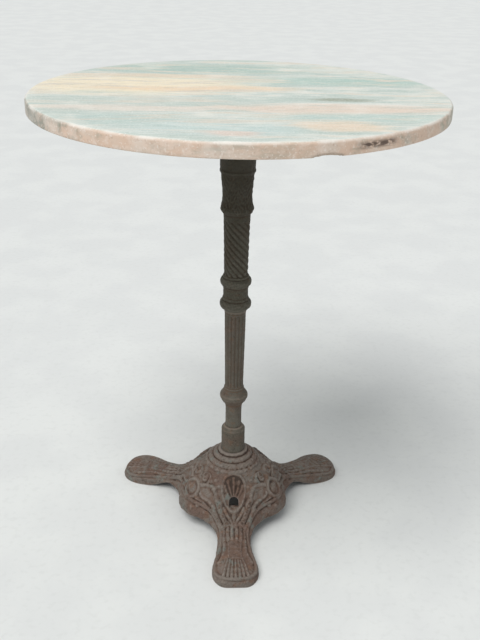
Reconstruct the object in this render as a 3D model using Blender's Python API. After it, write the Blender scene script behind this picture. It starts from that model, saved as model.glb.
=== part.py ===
"""Bistro table: a round marble top on a turned cast-iron column and a three-footed cast-iron base.

Metres, +Z up. The origin is on the floor, on the axis of the column. The front leg points along -Y.
The column is stacked on one tie rod, which a nut in the spider's hub and a nut under the base draw tight.
"""

import math

import bmesh
import bpy
from mathutils import Matrix, Vector

# Driving dimensions
TABLE_HEIGHT = 0.720
TOP_RADIUS = 0.300
TOP_THICKNESS = 0.020
LEG_ANGLES = [math.radians(a) for a in (-90, 30, 150)]
ARM_ANGLES = [math.radians(a) for a in (45, 135, 225, 315)]
FACE_GAP = 0.0003  # between two pieces that rest on each other
OVERCUT = 0.010  # how far a cutting shape runs past the face it opens
OVERLAP = 0.001  # how far two shapes that are joined run into each other

# Marble top and the screws that hold it to the spider
TOP_UNDERSIDE = TABLE_HEIGHT - TOP_THICKNESS
UPPER_ARRIS = 0.0045
LOWER_ARRIS = 0.0020
SCREW_CIRCLE_RADIUS = 0.125
SCREW_RADIUS = 0.0030
SCREW_HEAD_FLATS = 0.010
SCREW_HEAD_HEIGHT = 0.0040
SCREW_REACH = 0.0105  # above the underside of the marble
SCREW_WASHER_RADIUS = 0.0080
SCREW_WASHER_THICKNESS = 0.0012
INSERT_RADIUS = 0.0050
INSERT_BORE = 0.0034
INSERT_LENGTH = 0.0118
INSERT_HOLE_RADIUS = INSERT_RADIUS + FACE_GAP
INSERT_HOLE_DEPTH = 0.0125
PAD_RADIUS = 0.0140
PAD_THICKNESS = 0.0030
PAD_BORE = 0.0038

# Spider, the four-armed casting under the marble
SPIDER_TOP = TOP_UNDERSIDE - 2 * FACE_GAP - PAD_THICKNESS
SPIDER_ARM_THICKNESS = 0.0060
SPIDER_ARM_REACH = 0.142
SPIDER_ARM_HALF_WIDTH_ROOT = 0.0200
SPIDER_ARM_HALF_WIDTH_TIP = 0.0150
SPIDER_RIB_HALF_WIDTH = 0.0030
SPIDER_RIB_DEPTH = 0.0150
SPIDER_HUB_RADIUS = 0.0310
SPIDER_HUB_BOTTOM = 0.6683
SPIDER_HUB_CHAMFER = 0.0030
SPIDER_HOLE_RADIUS = 0.0035

# Tie rod and its nuts and washers
ROD_RADIUS = 0.0050
ROD_HOLE_RADIUS = 0.0056
ROD_TOP = 0.6935
ROD_BOTTOM = 0.0600
NUT_FLATS = 0.0170
NUT_HEIGHT = 0.0080
NUT_BORE = 0.0053
TOP_POCKET_RADIUS = 0.0120
TOP_POCKET_FLOOR = 0.6805
TOP_WASHER_RADIUS = 0.0105
TOP_WASHER_THICKNESS = 0.0020
PLATE_WASHER_RADIUS = 0.0165
PLATE_WASHER_THICKNESS = 0.0030
LOCK_WASHER_RADIUS = 0.0088
LOCK_WASHER_THICKNESS = 0.0024
LOCK_WASHER_SPLIT = math.radians(12)
LOCK_WASHER_RISE = 0.0004  # of one end of the split over the other

# Column
COLUMN_BORE = 0.0075
COLUMN_TOP = SPIDER_HUB_BOTTOM - FACE_GAP
COLUMN_JOINT = 0.3800
STRAIGHT_FLUTES = 16
TWISTED_FLUTES = 12
TWIST_TOP, TWIST_BOTTOM = 0.5330, 0.4400
TWIST_TOP_RADIUS, TWIST_BOTTOM_RADIUS = 0.0203, 0.0184
TWIST_LEAD = 0.130  # height in which a twisted flute goes once round
TWIST_FLUTE_DEPTH = 0.0012
STRAIGHT_FLUTE_DEPTH = 0.0010
SPIGOT_RADIUS = 0.0105
SPIGOT_HEIGHT = 0.0120
NECK_RADIUS = 0.0134
NECK_BOTTOM = 0.1400
COLLAR_RADIUS = 0.0198
COLLAR_TOP = 0.1630
COLLAR_BEVEL = 0.0045
COLLAR_BOTTOM = 0.1128

# Base casting
SEAT_FLOOR = COLLAR_BOTTOM - FACE_GAP
SEAT_RADIUS = COLLAR_RADIUS + FACE_GAP
HUB_LIP_TOP = 0.1170
BOSS_BOTTOM = 0.0820
WALL = 0.0060
RIM_LIFT = 0.0230  # of the dome's lower edge above the floor
VENT_HALF_WIDTH = 0.0080
VENT_HEIGHT = 0.0150
VENT_DISTANCE = 0.0810  # of the vent from the axis
VENT_SILL = 0.0512


def clear_scene():
    for obj in list(bpy.data.objects):
        bpy.data.objects.remove(obj, do_unlink=True)


def material(name, colour, roughness, metallic):
    made = bpy.data.materials.new(name)
    made.use_nodes = True
    shader = made.node_tree.nodes["Principled BSDF"]
    shader.inputs["Base Color"].default_value = (*colour, 1)
    shader.inputs["Roughness"].default_value = roughness
    shader.inputs["Metallic"].default_value = metallic
    made.diffuse_color = (*colour, 1)
    return made


def add_object(name, mesh_data, finish=None):
    obj = bpy.data.objects.new(name, mesh_data)
    bpy.context.scene.collection.objects.link(obj)
    if finish:
        mesh_data.materials.append(finish)
    return obj


def finish_mesh(name, bm, finish=None, smooth_below=35):
    bmesh.ops.recalc_face_normals(bm, faces=bm.faces)
    mesh = bpy.data.meshes.new(name)
    bm.to_mesh(mesh)
    bm.free()
    mesh.shade_smooth()
    mesh.set_sharp_from_angle(angle=math.radians(smooth_below))
    return add_object(name, mesh, finish)


def as_helper(obj):
    """A shape that only cuts or joins another one, and isn't a piece of the table."""
    obj.hide_render = True
    obj.display_type = "WIRE"
    return obj


def boolean(obj, other, operation):
    modifier = obj.modifiers.new(f"{operation.lower()}_{other.name}", "BOOLEAN")
    modifier.object = as_helper(other)
    modifier.operation = operation
    modifier.solver = "EXACT"


def circle_loop(radius, z, sides, turn=0.0, radius_at=None):
    """Points round the Z axis. radius_at, if given, turns an index into a change of radius."""
    loop = []
    for i in range(sides):
        angle = 2 * math.pi * i / sides + turn
        r = radius + (radius_at(i) if radius_at else 0)
        loop.append(Vector((r * math.cos(angle), r * math.sin(angle), z)))
    return loop


def loft(name, loops, finish=None, ring_closed=True):
    """A solid whose surface runs through these loops in turn and, if ring_closed, back to the first one."""
    bm = bmesh.new()
    rows = [[bm.verts.new(p) for p in loop] for loop in loops]
    sides = len(rows[0])
    following = rows[1:] + rows[:1] if ring_closed else rows[1:]
    for row, after in zip(rows, following):
        for i in range(sides):
            j = (i + 1) % sides
            bm.faces.new((row[i], row[j], after[j], after[i]))
    if not ring_closed:
        bm.faces.new(rows[0])
        bm.faces.new(rows[-1])
    return finish_mesh(name, bm, finish)


def turned(name, profile, sides, finish=None, ring_closed=True):
    """A turned piece: profile is a list of (radius, height)."""
    return loft(name, [circle_loop(r, z, sides) for r, z in profile], finish, ring_closed)


def sleeve(name, inner, outer, bottom, top, sides, finish):
    return turned(name, [(outer, top), (outer, bottom), (inner, bottom), (inner, top)], sides, finish)


def place(obj, x, y):
    obj.location = (x, y, 0)
    return obj


def arc(centre, radius, start, end, steps):
    """Points of a quarter-round or bead in a profile: centre is (radius, height), angles in degrees."""
    points = []
    for i in range(steps + 1):
        angle = math.radians(start + (end - start) * i / steps)
        points.append((centre[0] + radius * math.cos(angle), centre[1] + radius * math.sin(angle)))
    return points


# Marble top


def make_marble_top(finish):
    sides = 72
    upper = arc((TOP_RADIUS - UPPER_ARRIS, TABLE_HEIGHT - UPPER_ARRIS), UPPER_ARRIS, 90, 0, 2)
    lower = arc((TOP_RADIUS - LOWER_ARRIS, TOP_UNDERSIDE + LOWER_ARRIS), LOWER_ARRIS, 0, -90, 1)
    slab = turned("marble_top", upper + lower, sides, finish, ring_closed=False)
    for number, angle in enumerate(ARM_ANGLES, 1):
        hole = turned(
            f"insert_hole_{number}",
            [
                (INSERT_HOLE_RADIUS, TOP_UNDERSIDE + INSERT_HOLE_DEPTH),
                (INSERT_HOLE_RADIUS, TOP_UNDERSIDE - INSERT_HOLE_DEPTH),
            ],
            16,
            ring_closed=False,
        )
        place(hole, SCREW_CIRCLE_RADIUS * math.cos(angle), SCREW_CIRCLE_RADIUS * math.sin(angle))
        boolean(slab, hole, "DIFFERENCE")
    return slab


def hexagon(name, flats, bottom, top, bore, finish):
    """A hexagon with chamfered corners and, if bore is given, a round hole through it."""
    sides = 12
    corner = flats / math.sqrt(3)
    chamfer = (corner - flats / 2) * 0.7

    def outline(trim, z):
        loop = []
        for i in range(sides):
            angle = 2 * math.pi * i / sides
            to_flat = (angle + math.pi / 6) % (math.pi / 3) - math.pi / 6
            r = min(flats / 2 / math.cos(to_flat), corner - trim)
            loop.append(Vector((r * math.cos(angle), r * math.sin(angle), z)))
        return loop

    loops = [outline(2 * chamfer, top), outline(0, top - chamfer)]
    loops += [outline(0, bottom + chamfer), outline(2 * chamfer, bottom)]
    if bore is None:
        return loft(name, loops, finish, ring_closed=False)
    loops += [circle_loop(bore, bottom, sides), circle_loop(bore, top, sides)]
    return loft(name, loops, finish)


def make_top_fixings(steel, brass, rubber):
    """For each arm of the spider: a brass insert, a rubber pad, a washer and a hexagon screw."""
    arm_bottom = SPIDER_TOP - SPIDER_ARM_THICKNESS
    washer_top = arm_bottom - FACE_GAP
    head_top = washer_top - SCREW_WASHER_THICKNESS - FACE_GAP
    head_bottom = head_top - SCREW_HEAD_HEIGHT
    for number, angle in enumerate(ARM_ANGLES, 1):
        x = SCREW_CIRCLE_RADIUS * math.cos(angle)
        y = SCREW_CIRCLE_RADIUS * math.sin(angle)
        insert_bottom = TOP_UNDERSIDE + FACE_GAP
        insert_top = insert_bottom + INSERT_LENGTH
        insert = sleeve(
            f"threaded_insert_{number}", INSERT_BORE, INSERT_RADIUS, insert_bottom, insert_top, 16, brass
        )
        pad_bottom = SPIDER_TOP + FACE_GAP
        pad = sleeve(
            f"rubber_pad_{number}", PAD_BORE, PAD_RADIUS, pad_bottom, pad_bottom + PAD_THICKNESS, 20, rubber
        )
        washer = sleeve(
            f"screw_washer_{number}",
            SCREW_RADIUS + FACE_GAP,
            SCREW_WASHER_RADIUS,
            washer_top - SCREW_WASHER_THICKNESS,
            washer_top,
            16,
            steel,
        )
        screw = hexagon(f"top_screw_{number}", SCREW_HEAD_FLATS, head_bottom, head_top, None, steel)
        shank = turned(
            f"screw_shank_{number}",
            [
                (SCREW_RADIUS * 0.7, TOP_UNDERSIDE + SCREW_REACH),
                (SCREW_RADIUS, TOP_UNDERSIDE + SCREW_REACH - SCREW_RADIUS * 0.3),
                (SCREW_RADIUS, head_bottom + SCREW_HEAD_HEIGHT / 2),
            ],
            12,
            ring_closed=False,
        )
        boolean(screw, shank, "UNION")
        for piece in (insert, pad, washer, screw, shank):
            place(piece, x, y)


# Spider


def arm_plate(name, top, bottom, reach, root_half_width, tip_half_width, finish=None):
    """A tapered bar along +X with a round end."""
    outline = [(0, -root_half_width), (reach - tip_half_width, -tip_half_width)]
    for i in range(1, 8):
        angle = -math.pi / 2 + math.pi * i / 8
        x = reach - tip_half_width + tip_half_width * math.cos(angle)
        outline.append((x, tip_half_width * math.sin(angle)))
    outline += [(reach - tip_half_width, tip_half_width), (0, root_half_width)]
    loops = [[Vector((x, y, z)) for x, y in outline] for z in (top, bottom)]
    return loft(name, loops, finish, ring_closed=False)


def arm_rib(name, top, angle):
    """The web under an arm: deep at the hub, running out towards the tip."""
    inner, outer = SPIDER_HUB_RADIUS * 0.7, SCREW_CIRCLE_RADIUS - SCREW_WASHER_RADIUS * 1.6
    bottom = top - SPIDER_ARM_THICKNESS
    side = [
        (inner, bottom + OVERLAP),
        (outer, bottom + OVERLAP),
        (outer, bottom - OVERLAP),
        (inner, bottom - SPIDER_RIB_DEPTH),
    ]
    loops = [[Vector((x, y, z)) for x, z in side] for y in (-SPIDER_RIB_HALF_WIDTH, SPIDER_RIB_HALF_WIDTH)]
    rib = loft(name, loops, ring_closed=False)
    rib.rotation_euler.z = angle
    return rib


def make_spider(iron):
    pocket_profile = [
        (SPIDER_HUB_RADIUS, SPIDER_TOP),
        (SPIDER_HUB_RADIUS, SPIDER_HUB_BOTTOM + SPIDER_HUB_CHAMFER),
        (SPIDER_HUB_RADIUS - SPIDER_HUB_CHAMFER, SPIDER_HUB_BOTTOM),
        (ROD_HOLE_RADIUS, SPIDER_HUB_BOTTOM),
        (ROD_HOLE_RADIUS, TOP_POCKET_FLOOR),
        (TOP_POCKET_RADIUS, TOP_POCKET_FLOOR),
        (TOP_POCKET_RADIUS, SPIDER_TOP),
    ]
    spider = turned("top_spider", pocket_profile, 32, iron)
    pocket = turned(
        "hub_pocket",
        [(TOP_POCKET_RADIUS, SPIDER_TOP + OVERCUT), (TOP_POCKET_RADIUS, TOP_POCKET_FLOOR)],
        32,
        ring_closed=False,
    )
    for number, angle in enumerate(ARM_ANGLES, 1):
        arm = arm_plate(
            f"arm_{number}",
            SPIDER_TOP,
            SPIDER_TOP - SPIDER_ARM_THICKNESS,
            SPIDER_ARM_REACH,
            SPIDER_ARM_HALF_WIDTH_ROOT,
            SPIDER_ARM_HALF_WIDTH_TIP,
        )
        arm.rotation_euler.z = angle
        boolean(spider, arm, "UNION")
        boolean(spider, arm_rib(f"rib_{number}", SPIDER_TOP, angle), "UNION")
    boolean(spider, pocket, "DIFFERENCE")
    for number, angle in enumerate(ARM_ANGLES, 1):
        hole = turned(
            f"arm_hole_{number}",
            [(SPIDER_HOLE_RADIUS, SPIDER_TOP + OVERCUT), (SPIDER_HOLE_RADIUS, SPIDER_TOP - 2 * OVERCUT)],
            16,
            ring_closed=False,
        )
        place(hole, SCREW_CIRCLE_RADIUS * math.cos(angle), SCREW_CIRCLE_RADIUS * math.sin(angle))
        boolean(spider, hole, "DIFFERENCE")
    return spider


# Column


def fluted_loops(profile, sides, depth, turn_at):
    """Loops whose points stand on a ridge and in a groove in turn. turn_at gives each height's turn."""

    def groove(i):
        return -depth if i % 2 else 0.0

    return [circle_loop(r, z, sides, turn_at(z), groove) for r, z in profile]


def twist_turn(z):
    """The twisted flutes turn one way round as they go down, and stay where they are outside the twist."""
    z = min(TWIST_TOP, max(TWIST_BOTTOM, z))
    return 2 * math.pi * (TWIST_TOP - z) / TWIST_LEAD


def make_upper_column(iron):
    """Leaf capital, twisted shaft, and two beads with a plain band between them."""
    sides = 2 * TWISTED_FLUTES
    capital = [
        (0.0300, COLUMN_TOP),
        (0.0315, 0.6650),
        (0.0315, 0.6600),
        (0.0280, 0.6560),
        (0.0276, 0.6360),
        (0.0268, 0.6180),
        (0.0268, 0.6060),
        (0.0256, 0.6020),
        (0.0240, 0.5840),
        (0.0232, 0.5680),
        (0.0246, 0.5560),
        (0.0262, 0.5475),
        (0.0254, 0.5430),
        (0.0212, 0.5395),
        (TWIST_TOP_RADIUS, TWIST_TOP),
    ]
    steps = 12
    shaft = []
    for i in range(1, steps):
        share = i / steps
        z = TWIST_TOP + (TWIST_BOTTOM - TWIST_TOP) * share
        shaft.append((TWIST_TOP_RADIUS + (TWIST_BOTTOM_RADIUS - TWIST_TOP_RADIUS) * share, z))
    upper_bead = [(TWIST_BOTTOM_RADIUS, TWIST_BOTTOM)]
    upper_bead += arc((0.0190, 0.4283), 0.0058, 75, -55, 5) + [(0.0197, 0.4190)]
    lower_bead = [(0.0197, 0.4020)] + arc((0.0190, 0.3897), 0.0061, 65, -60, 5) + [(0.0185, COLUMN_JOINT)]
    loops = [circle_loop(r, z, sides, twist_turn(z)) for r, z in capital]
    loops += fluted_loops(shaft, sides, TWIST_FLUTE_DEPTH, twist_turn)
    loops += [circle_loop(r, z, sides, twist_turn(z)) for r, z in upper_bead + lower_bead]
    column = loft("upper_column", loops, iron, ring_closed=False)
    socket_radius = SPIGOT_RADIUS + FACE_GAP
    socket_floor = COLUMN_JOINT + SPIGOT_HEIGHT + FACE_GAP
    bore = [
        (COLUMN_BORE, COLUMN_TOP + OVERCUT),
        (COLUMN_BORE, socket_floor),
        (socket_radius, socket_floor),
        (socket_radius, COLUMN_JOINT - OVERCUT),
    ]
    boolean(column, turned("upper_column_bore", bore, 24, ring_closed=False), "DIFFERENCE")
    return column


def make_lower_column(iron):
    """Tapered shaft with straight flutes, a swelling ring, and the plain neck that enters the collar."""
    sides = 2 * STRAIGHT_FLUTES
    top = COLUMN_JOINT - FACE_GAP
    head = [(SPIGOT_RADIUS, top + SPIGOT_HEIGHT), (SPIGOT_RADIUS, top), (0.0178, top), (0.0170, 0.3760)]
    shaft = [(0.0169, 0.3735), (0.0161, 0.3100), (0.0153, 0.2450)]
    ring = [
        (0.0153, 0.2400),
        (0.0166, 0.2360),
        (0.0180, 0.2330),
        (0.0210, 0.2285),
        (0.0229, 0.2230),
        (0.0229, 0.2180),
        (0.0204, 0.2130),
        (0.0172, 0.2090),
        (0.0145, 0.2045),
        (NECK_RADIUS, 0.1975),
    ]
    neck = [(NECK_RADIUS, NECK_BOTTOM), (COLUMN_BORE, NECK_BOTTOM), (COLUMN_BORE, top + SPIGOT_HEIGHT)]
    loops = [circle_loop(r, z, sides) for r, z in head]
    loops += fluted_loops(shaft, sides, STRAIGHT_FLUTE_DEPTH, lambda z: 0.0)
    loops += [circle_loop(r, z, sides) for r, z in ring + neck]
    return loft("lower_column", loops, iron)


def make_collar(iron):
    """The socket at the foot of the column: the neck enters it, and it stands in the base's seat."""
    neck_hole = NECK_RADIUS + FACE_GAP
    profile = [
        (COLLAR_RADIUS - COLLAR_BEVEL, COLLAR_TOP),
        (COLLAR_RADIUS, COLLAR_TOP - COLLAR_BEVEL),
        (COLLAR_RADIUS, COLLAR_BOTTOM),
        (COLUMN_BORE, COLLAR_BOTTOM),
        (COLUMN_BORE, NECK_BOTTOM - FACE_GAP),
        (neck_hole, NECK_BOTTOM - FACE_GAP),
        (neck_hole, COLLAR_TOP),
    ]
    return turned("foot_collar", profile, 32, iron)


# Tie rod, nuts and washers


def make_tie_rod(steel):
    chamfer = ROD_RADIUS * 0.25
    profile = [
        (ROD_RADIUS - chamfer, ROD_TOP),
        (ROD_RADIUS, ROD_TOP - chamfer),
        (ROD_RADIUS, ROD_BOTTOM + chamfer),
        (ROD_RADIUS - chamfer, ROD_BOTTOM),
    ]
    turned("tie_rod", profile, 16, steel, ring_closed=False)
    washer_bottom = TOP_POCKET_FLOOR + FACE_GAP
    washer_top = washer_bottom + TOP_WASHER_THICKNESS
    sleeve("top_washer", NUT_BORE, TOP_WASHER_RADIUS, washer_bottom, washer_top, 20, steel)
    nut_bottom = washer_top + FACE_GAP
    hexagon("top_nut", NUT_FLATS, nut_bottom, nut_bottom + NUT_HEIGHT, NUT_BORE, steel)


def make_lock_washer(top, steel):
    """A split spring washer: an open ring of square wire whose ends stand a little apart in height."""
    steps = 20
    bm = bmesh.new()
    rows = []
    for i in range(steps + 1):
        angle = LOCK_WASHER_SPLIT + (2 * math.pi - 2 * LOCK_WASHER_SPLIT) * i / steps
        drop = LOCK_WASHER_RISE * i / steps
        corners = []
        section_top = top - drop
        section_bottom = top - LOCK_WASHER_THICKNESS + LOCK_WASHER_RISE - drop
        for r, z in (
            (NUT_BORE, section_bottom),
            (LOCK_WASHER_RADIUS, section_bottom),
            (LOCK_WASHER_RADIUS, section_top),
            (NUT_BORE, section_top),
        ):
            corners.append(bm.verts.new((r * math.cos(angle), r * math.sin(angle), z)))
        rows.append(corners)
    for row, after in zip(rows, rows[1:]):
        for i in range(4):
            j = (i + 1) % 4
            bm.faces.new((row[i], row[j], after[j], after[i]))
    bm.faces.new(rows[0])
    bm.faces.new(rows[-1])
    return finish_mesh("lock_washer", bm, steel)


def make_base_fixings(steel):
    plate_top = BOSS_BOTTOM - FACE_GAP
    plate_bottom = plate_top - PLATE_WASHER_THICKNESS
    sleeve("plate_washer", NUT_BORE, PLATE_WASHER_RADIUS, plate_bottom, plate_top, 24, steel)
    lock_top = plate_bottom - FACE_GAP
    make_lock_washer(lock_top, steel)
    nut_top = lock_top - LOCK_WASHER_THICKNESS - FACE_GAP
    hexagon("base_nut", NUT_FLATS, nut_top - NUT_HEIGHT, nut_top, NUT_BORE, steel)


# Base casting

# A third of the dome has these columns of points, in degrees from its leg's axis, after the leg's own five.
LEG_COLUMNS = (-22, -11, 0, 11, 22)
DOME_COLUMNS = (34, 47, 60, 73, 86)
# (radius, height) of the dome's rings, from the hub outwards, and of its edge at each of the dome's columns
DOME_RINGS = ((0.0400, 0.0960), (0.0570, 0.0880), (0.0745, 0.0720), (0.0895, 0.0500))
DOME_WAIST = (0.0050, 0, 0, 0, 0.0050)  # how much closer to the axis the outermost ring runs there
DOME_SHOULDER = ((0.0880, 0.0345), (0.0970, 0.0380), (0.0980, 0.0385), (0.0970, 0.0380), (0.0880, 0.0345))
LEG_SADDLE = 0.0100  # how much lower the outermost dome ring runs over a leg
# distance along a leg from the axis, half width, height on the centre line and height at the edge
LEG_ROWS = (
    (0.1100, 0.0240, 0.0340, 0.0245),
    (0.1320, 0.0245, 0.0282, 0.0195),
    (0.1550, 0.0280, 0.0250, 0.0162),
    (0.1780, 0.0352, 0.0230, 0.0143),
    (0.2000, 0.0340, 0.0210, 0.0130),
    (0.2145, 0.0215, 0.0174, 0.0118),
)
SKIRT_FLARE = 0.0030
SOLE_CUT = 0.0020  # the skirt is made this much too long, and cut off level with the floor
SOLE_START = 0.1600  # further out than this, the leg's lower edge stands on the floor
SOLE_END = 0.1080


def lower_edge(distance):
    """Height of the casting's lower edge, which rises from the foot towards the dome."""
    share = min(1.0, max(0.0, (SOLE_START - distance) / (SOLE_START - SOLE_END)))
    return RIM_LIFT * share * share * (3 - 2 * share)


def polar(radius, angle, z):
    return Vector((radius * math.cos(angle), radius * math.sin(angle), z))


def leg_point(leg_angle, along, across, z):
    return Matrix.Rotation(leg_angle, 3, "Z") @ Vector((along, across, z))


def dome_ring(bm, index):
    """One ring of points round the dome. Over each leg the outer rings sink into a saddle."""
    radius, height = DOME_RINGS[index]
    outwards = (index / (len(DOME_RINGS) - 1)) ** 2
    ring = []
    for leg_angle in LEG_ANGLES:
        for offset in LEG_COLUMNS:
            sink = LEG_SADDLE * outwards * (1 - abs(offset) / LEG_COLUMNS[-1])
            ring.append(bm.verts.new(polar(radius, leg_angle + math.radians(offset), height - sink)))
        for offset, waist in zip(DOME_COLUMNS, DOME_WAIST):
            spot = polar(radius - waist * outwards, leg_angle + math.radians(offset), height)
            ring.append(bm.verts.new(spot))
    return ring


def leg_row(bm, leg_angle, along, half_width, centre_height, edge_height):
    row = []
    for share in (-1, -0.55, 0, 0.55, 1):
        height = edge_height + (centre_height - edge_height) * (1 - share * share)
        row.append(bm.verts.new(leg_point(leg_angle, along, half_width * share, height)))
    return row


def base_skin(bm):
    """Makes the upper surface of the casting and returns its outer edge, as a loop of points in order."""
    rings = [dome_ring(bm, i) for i in range(len(DOME_RINGS))]
    columns = len(rings[0])
    for ring, outer in zip(rings, rings[1:]):
        for i in range(columns):
            j = (i + 1) % columns
            bm.faces.new((ring[i], ring[j], outer[j], outer[i]))
    edge = []
    per_third = len(LEG_COLUMNS) + len(DOME_COLUMNS)
    shoulders, legs = [], []
    for leg_angle in LEG_ANGLES:
        legs.append([leg_row(bm, leg_angle, *row) for row in LEG_ROWS])
        shoulder = []
        for offset, (radius, height) in zip(DOME_COLUMNS, DOME_SHOULDER):
            shoulder.append(bm.verts.new(polar(radius, leg_angle + math.radians(offset), height)))
        shoulders.append(shoulder)
    last = rings[-1]
    for third in range(3):
        start = third * per_third
        root = last[start : start + 5]
        rows = [root] + legs[third]
        for row, after in zip(rows, rows[1:]):
            for i in range(4):
                bm.faces.new((row[i], row[i + 1], after[i + 1], after[i]))
        shoulder, next_leg = shoulders[third], legs[(third + 1) % 3]
        inner = [last[(start + 4 + i) % columns] for i in range(len(DOME_COLUMNS) + 2)]
        outer = [legs[third][0][4]] + shoulder + [next_leg[0][0]]
        for i in range(len(inner) - 1):
            bm.faces.new((inner[i], inner[i + 1], outer[i + 1], outer[i]))
        rows = legs[third]
        edge += [row[0] for row in rows] + rows[-1][1:4] + [row[4] for row in reversed(rows)] + shoulder
    return edge


def add_skirt(bm, edge):
    """Turns the outer edge down to the floor: a rounded step out, then a short upright wall."""
    outward = []
    for i, vert in enumerate(edge):
        along = edge[(i + 1) % len(edge)].co - edge[i - 1].co
        outward.append(Vector((along.y, -along.x, 0)).normalized())
    upper, lower = [], []
    for vert, away in zip(edge, outward):
        spot = vert.co + away * SKIRT_FLARE
        sole = lower_edge(spot.xy.length) - SOLE_CUT
        upper.append(bm.verts.new((spot.x, spot.y, sole + (vert.co.z - sole) * 0.45)))
        lower.append(bm.verts.new((spot.x, spot.y, sole)))
    for row, after in ((edge, upper), (upper, lower)):
        for i in range(len(edge)):
            j = (i + 1) % len(edge)
            bm.faces.new((row[i], row[j], after[j], after[i]))


def make_base_hub():
    """The thick middle of the casting: a stepped round plinth with the collar's seat, and the boss below."""
    profile = [
        (SEAT_RADIUS, HUB_LIP_TOP),
        (0.0232, HUB_LIP_TOP),
        (0.0242, 0.1125),
        (0.0290, 0.1115),
        (0.0310, 0.1072),
        (0.0365, 0.1060),
        (0.0390, 0.1012),
        (0.0445, 0.0998),
        (0.0468, 0.0965),
        (0.0468, 0.0925),
        (0.0410, 0.0870),
        (0.0200, 0.0860),
        (0.0200, BOSS_BOTTOM),
        (ROD_HOLE_RADIUS, BOSS_BOTTOM),
        (ROD_HOLE_RADIUS, SEAT_FLOOR),
        (SEAT_RADIUS, SEAT_FLOOR),
    ]
    return turned("base_hub", profile, 30)


def make_vent(number, leg_angle):
    """The small arched opening over each leg, cut along the leg's direction."""
    outline = [(-VENT_HALF_WIDTH, 0), (VENT_HALF_WIDTH, 0)]
    rise = VENT_HALF_WIDTH * 0.7
    for i in range(7):
        angle = math.pi * i / 6
        outline.append((VENT_HALF_WIDTH * math.cos(angle), VENT_HEIGHT - rise + rise * math.sin(angle)))
    reach = 0.024
    loops = []
    for along in (VENT_DISTANCE - reach, VENT_DISTANCE + reach):
        loops.append([leg_point(leg_angle, along, y, VENT_SILL + z) for y, z in outline])
    return loft(f"vent_{number}", loops, ring_closed=False)


def make_base(iron):
    bm = bmesh.new()
    add_skirt(bm, base_skin(bm))
    base = finish_mesh("base_casting", bm, iron)
    subdivision = base.modifiers.new("smooth_skin", "SUBSURF")
    subdivision.levels = subdivision.render_levels = 1
    shell = base.modifiers.new("wall", "SOLIDIFY")
    shell.thickness = WALL
    shell.offset = -1
    shell.use_even_offset = True
    boolean(base, make_base_hub(), "UNION")
    for number, leg_angle in enumerate(LEG_ANGLES, 1):
        boolean(base, make_vent(number, leg_angle), "DIFFERENCE")
    below_floor = [(2 * TOP_RADIUS, 0), (2 * TOP_RADIUS, -4 * SOLE_CUT)]
    floor_cut = turned("floor_cut", below_floor, 8, ring_closed=False)
    boolean(base, floor_cut, "DIFFERENCE")
    return base


def main():
    clear_scene()
    marble = material("honed_marble", (0.78, 0.76, 0.70), 0.35, 0.0)
    iron = material("rusted_cast_iron", (0.16, 0.11, 0.085), 0.80, 0.0)
    steel = material("zinc_plated_steel", (0.55, 0.55, 0.53), 0.40, 1.0)
    brass = material("brass", (0.60, 0.45, 0.20), 0.35, 1.0)
    rubber = material("black_rubber", (0.03, 0.03, 0.03), 0.80, 0.0)
    make_marble_top(marble)
    make_top_fixings(steel, brass, rubber)
    make_spider(iron)
    make_upper_column(iron)
    make_lower_column(iron)
    make_collar(iron)
    make_tie_rod(steel)
    make_base_fixings(steel)
    make_base(iron)


main()
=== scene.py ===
import math

import bmesh
import bpy
import numpy as np
from mathutils import Matrix, Vector
from mathutils.bvhtree import BVHTree


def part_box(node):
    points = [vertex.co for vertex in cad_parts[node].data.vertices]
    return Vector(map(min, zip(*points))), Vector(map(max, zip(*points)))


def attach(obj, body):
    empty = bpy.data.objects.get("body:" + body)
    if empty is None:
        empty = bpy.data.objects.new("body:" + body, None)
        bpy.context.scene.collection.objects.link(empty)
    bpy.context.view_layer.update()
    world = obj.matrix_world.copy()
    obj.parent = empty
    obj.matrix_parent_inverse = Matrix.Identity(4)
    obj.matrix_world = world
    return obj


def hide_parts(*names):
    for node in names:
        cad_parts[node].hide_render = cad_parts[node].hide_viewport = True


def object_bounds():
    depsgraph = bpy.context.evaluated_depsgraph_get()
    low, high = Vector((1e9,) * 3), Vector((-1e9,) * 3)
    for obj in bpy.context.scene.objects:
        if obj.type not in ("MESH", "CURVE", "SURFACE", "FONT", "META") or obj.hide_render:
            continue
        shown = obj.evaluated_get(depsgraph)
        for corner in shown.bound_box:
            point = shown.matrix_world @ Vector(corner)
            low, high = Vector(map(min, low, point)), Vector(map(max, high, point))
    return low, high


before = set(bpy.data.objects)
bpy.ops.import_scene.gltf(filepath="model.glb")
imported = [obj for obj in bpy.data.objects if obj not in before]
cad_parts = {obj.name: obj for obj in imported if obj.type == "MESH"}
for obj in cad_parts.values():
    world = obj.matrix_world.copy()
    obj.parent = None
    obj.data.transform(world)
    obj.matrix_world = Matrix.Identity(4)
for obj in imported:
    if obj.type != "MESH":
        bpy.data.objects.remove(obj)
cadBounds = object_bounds()
print("frame loaded:", len(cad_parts), "nodes")

mm = 0.001
scene = bpy.context.scene


# nodes and colours

def hexColour(text, alpha=1.0):
    parts = [int(text[i:i + 2], 16) / 255 for i in (1, 3, 5)]
    linear = [c / 12.92 if c <= 0.04045 else ((c + 0.055) / 1.055) ** 2.4 for c in parts]
    return (*linear, alpha)


# links: the socket's name or number, then a value or a socket to link from
def addNode(tree, kind, links=None, out=0, **settings):
    node = tree.nodes.new(kind)
    for name, value in settings.items():
        setattr(node, name, value)
    for key, value in (links or {}).items():
        if isinstance(value, bpy.types.NodeSocket):
            tree.links.new(value, node.inputs[key])
        else:
            node.inputs[key].default_value = value
    return node if out is None else node.outputs[out]


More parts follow.
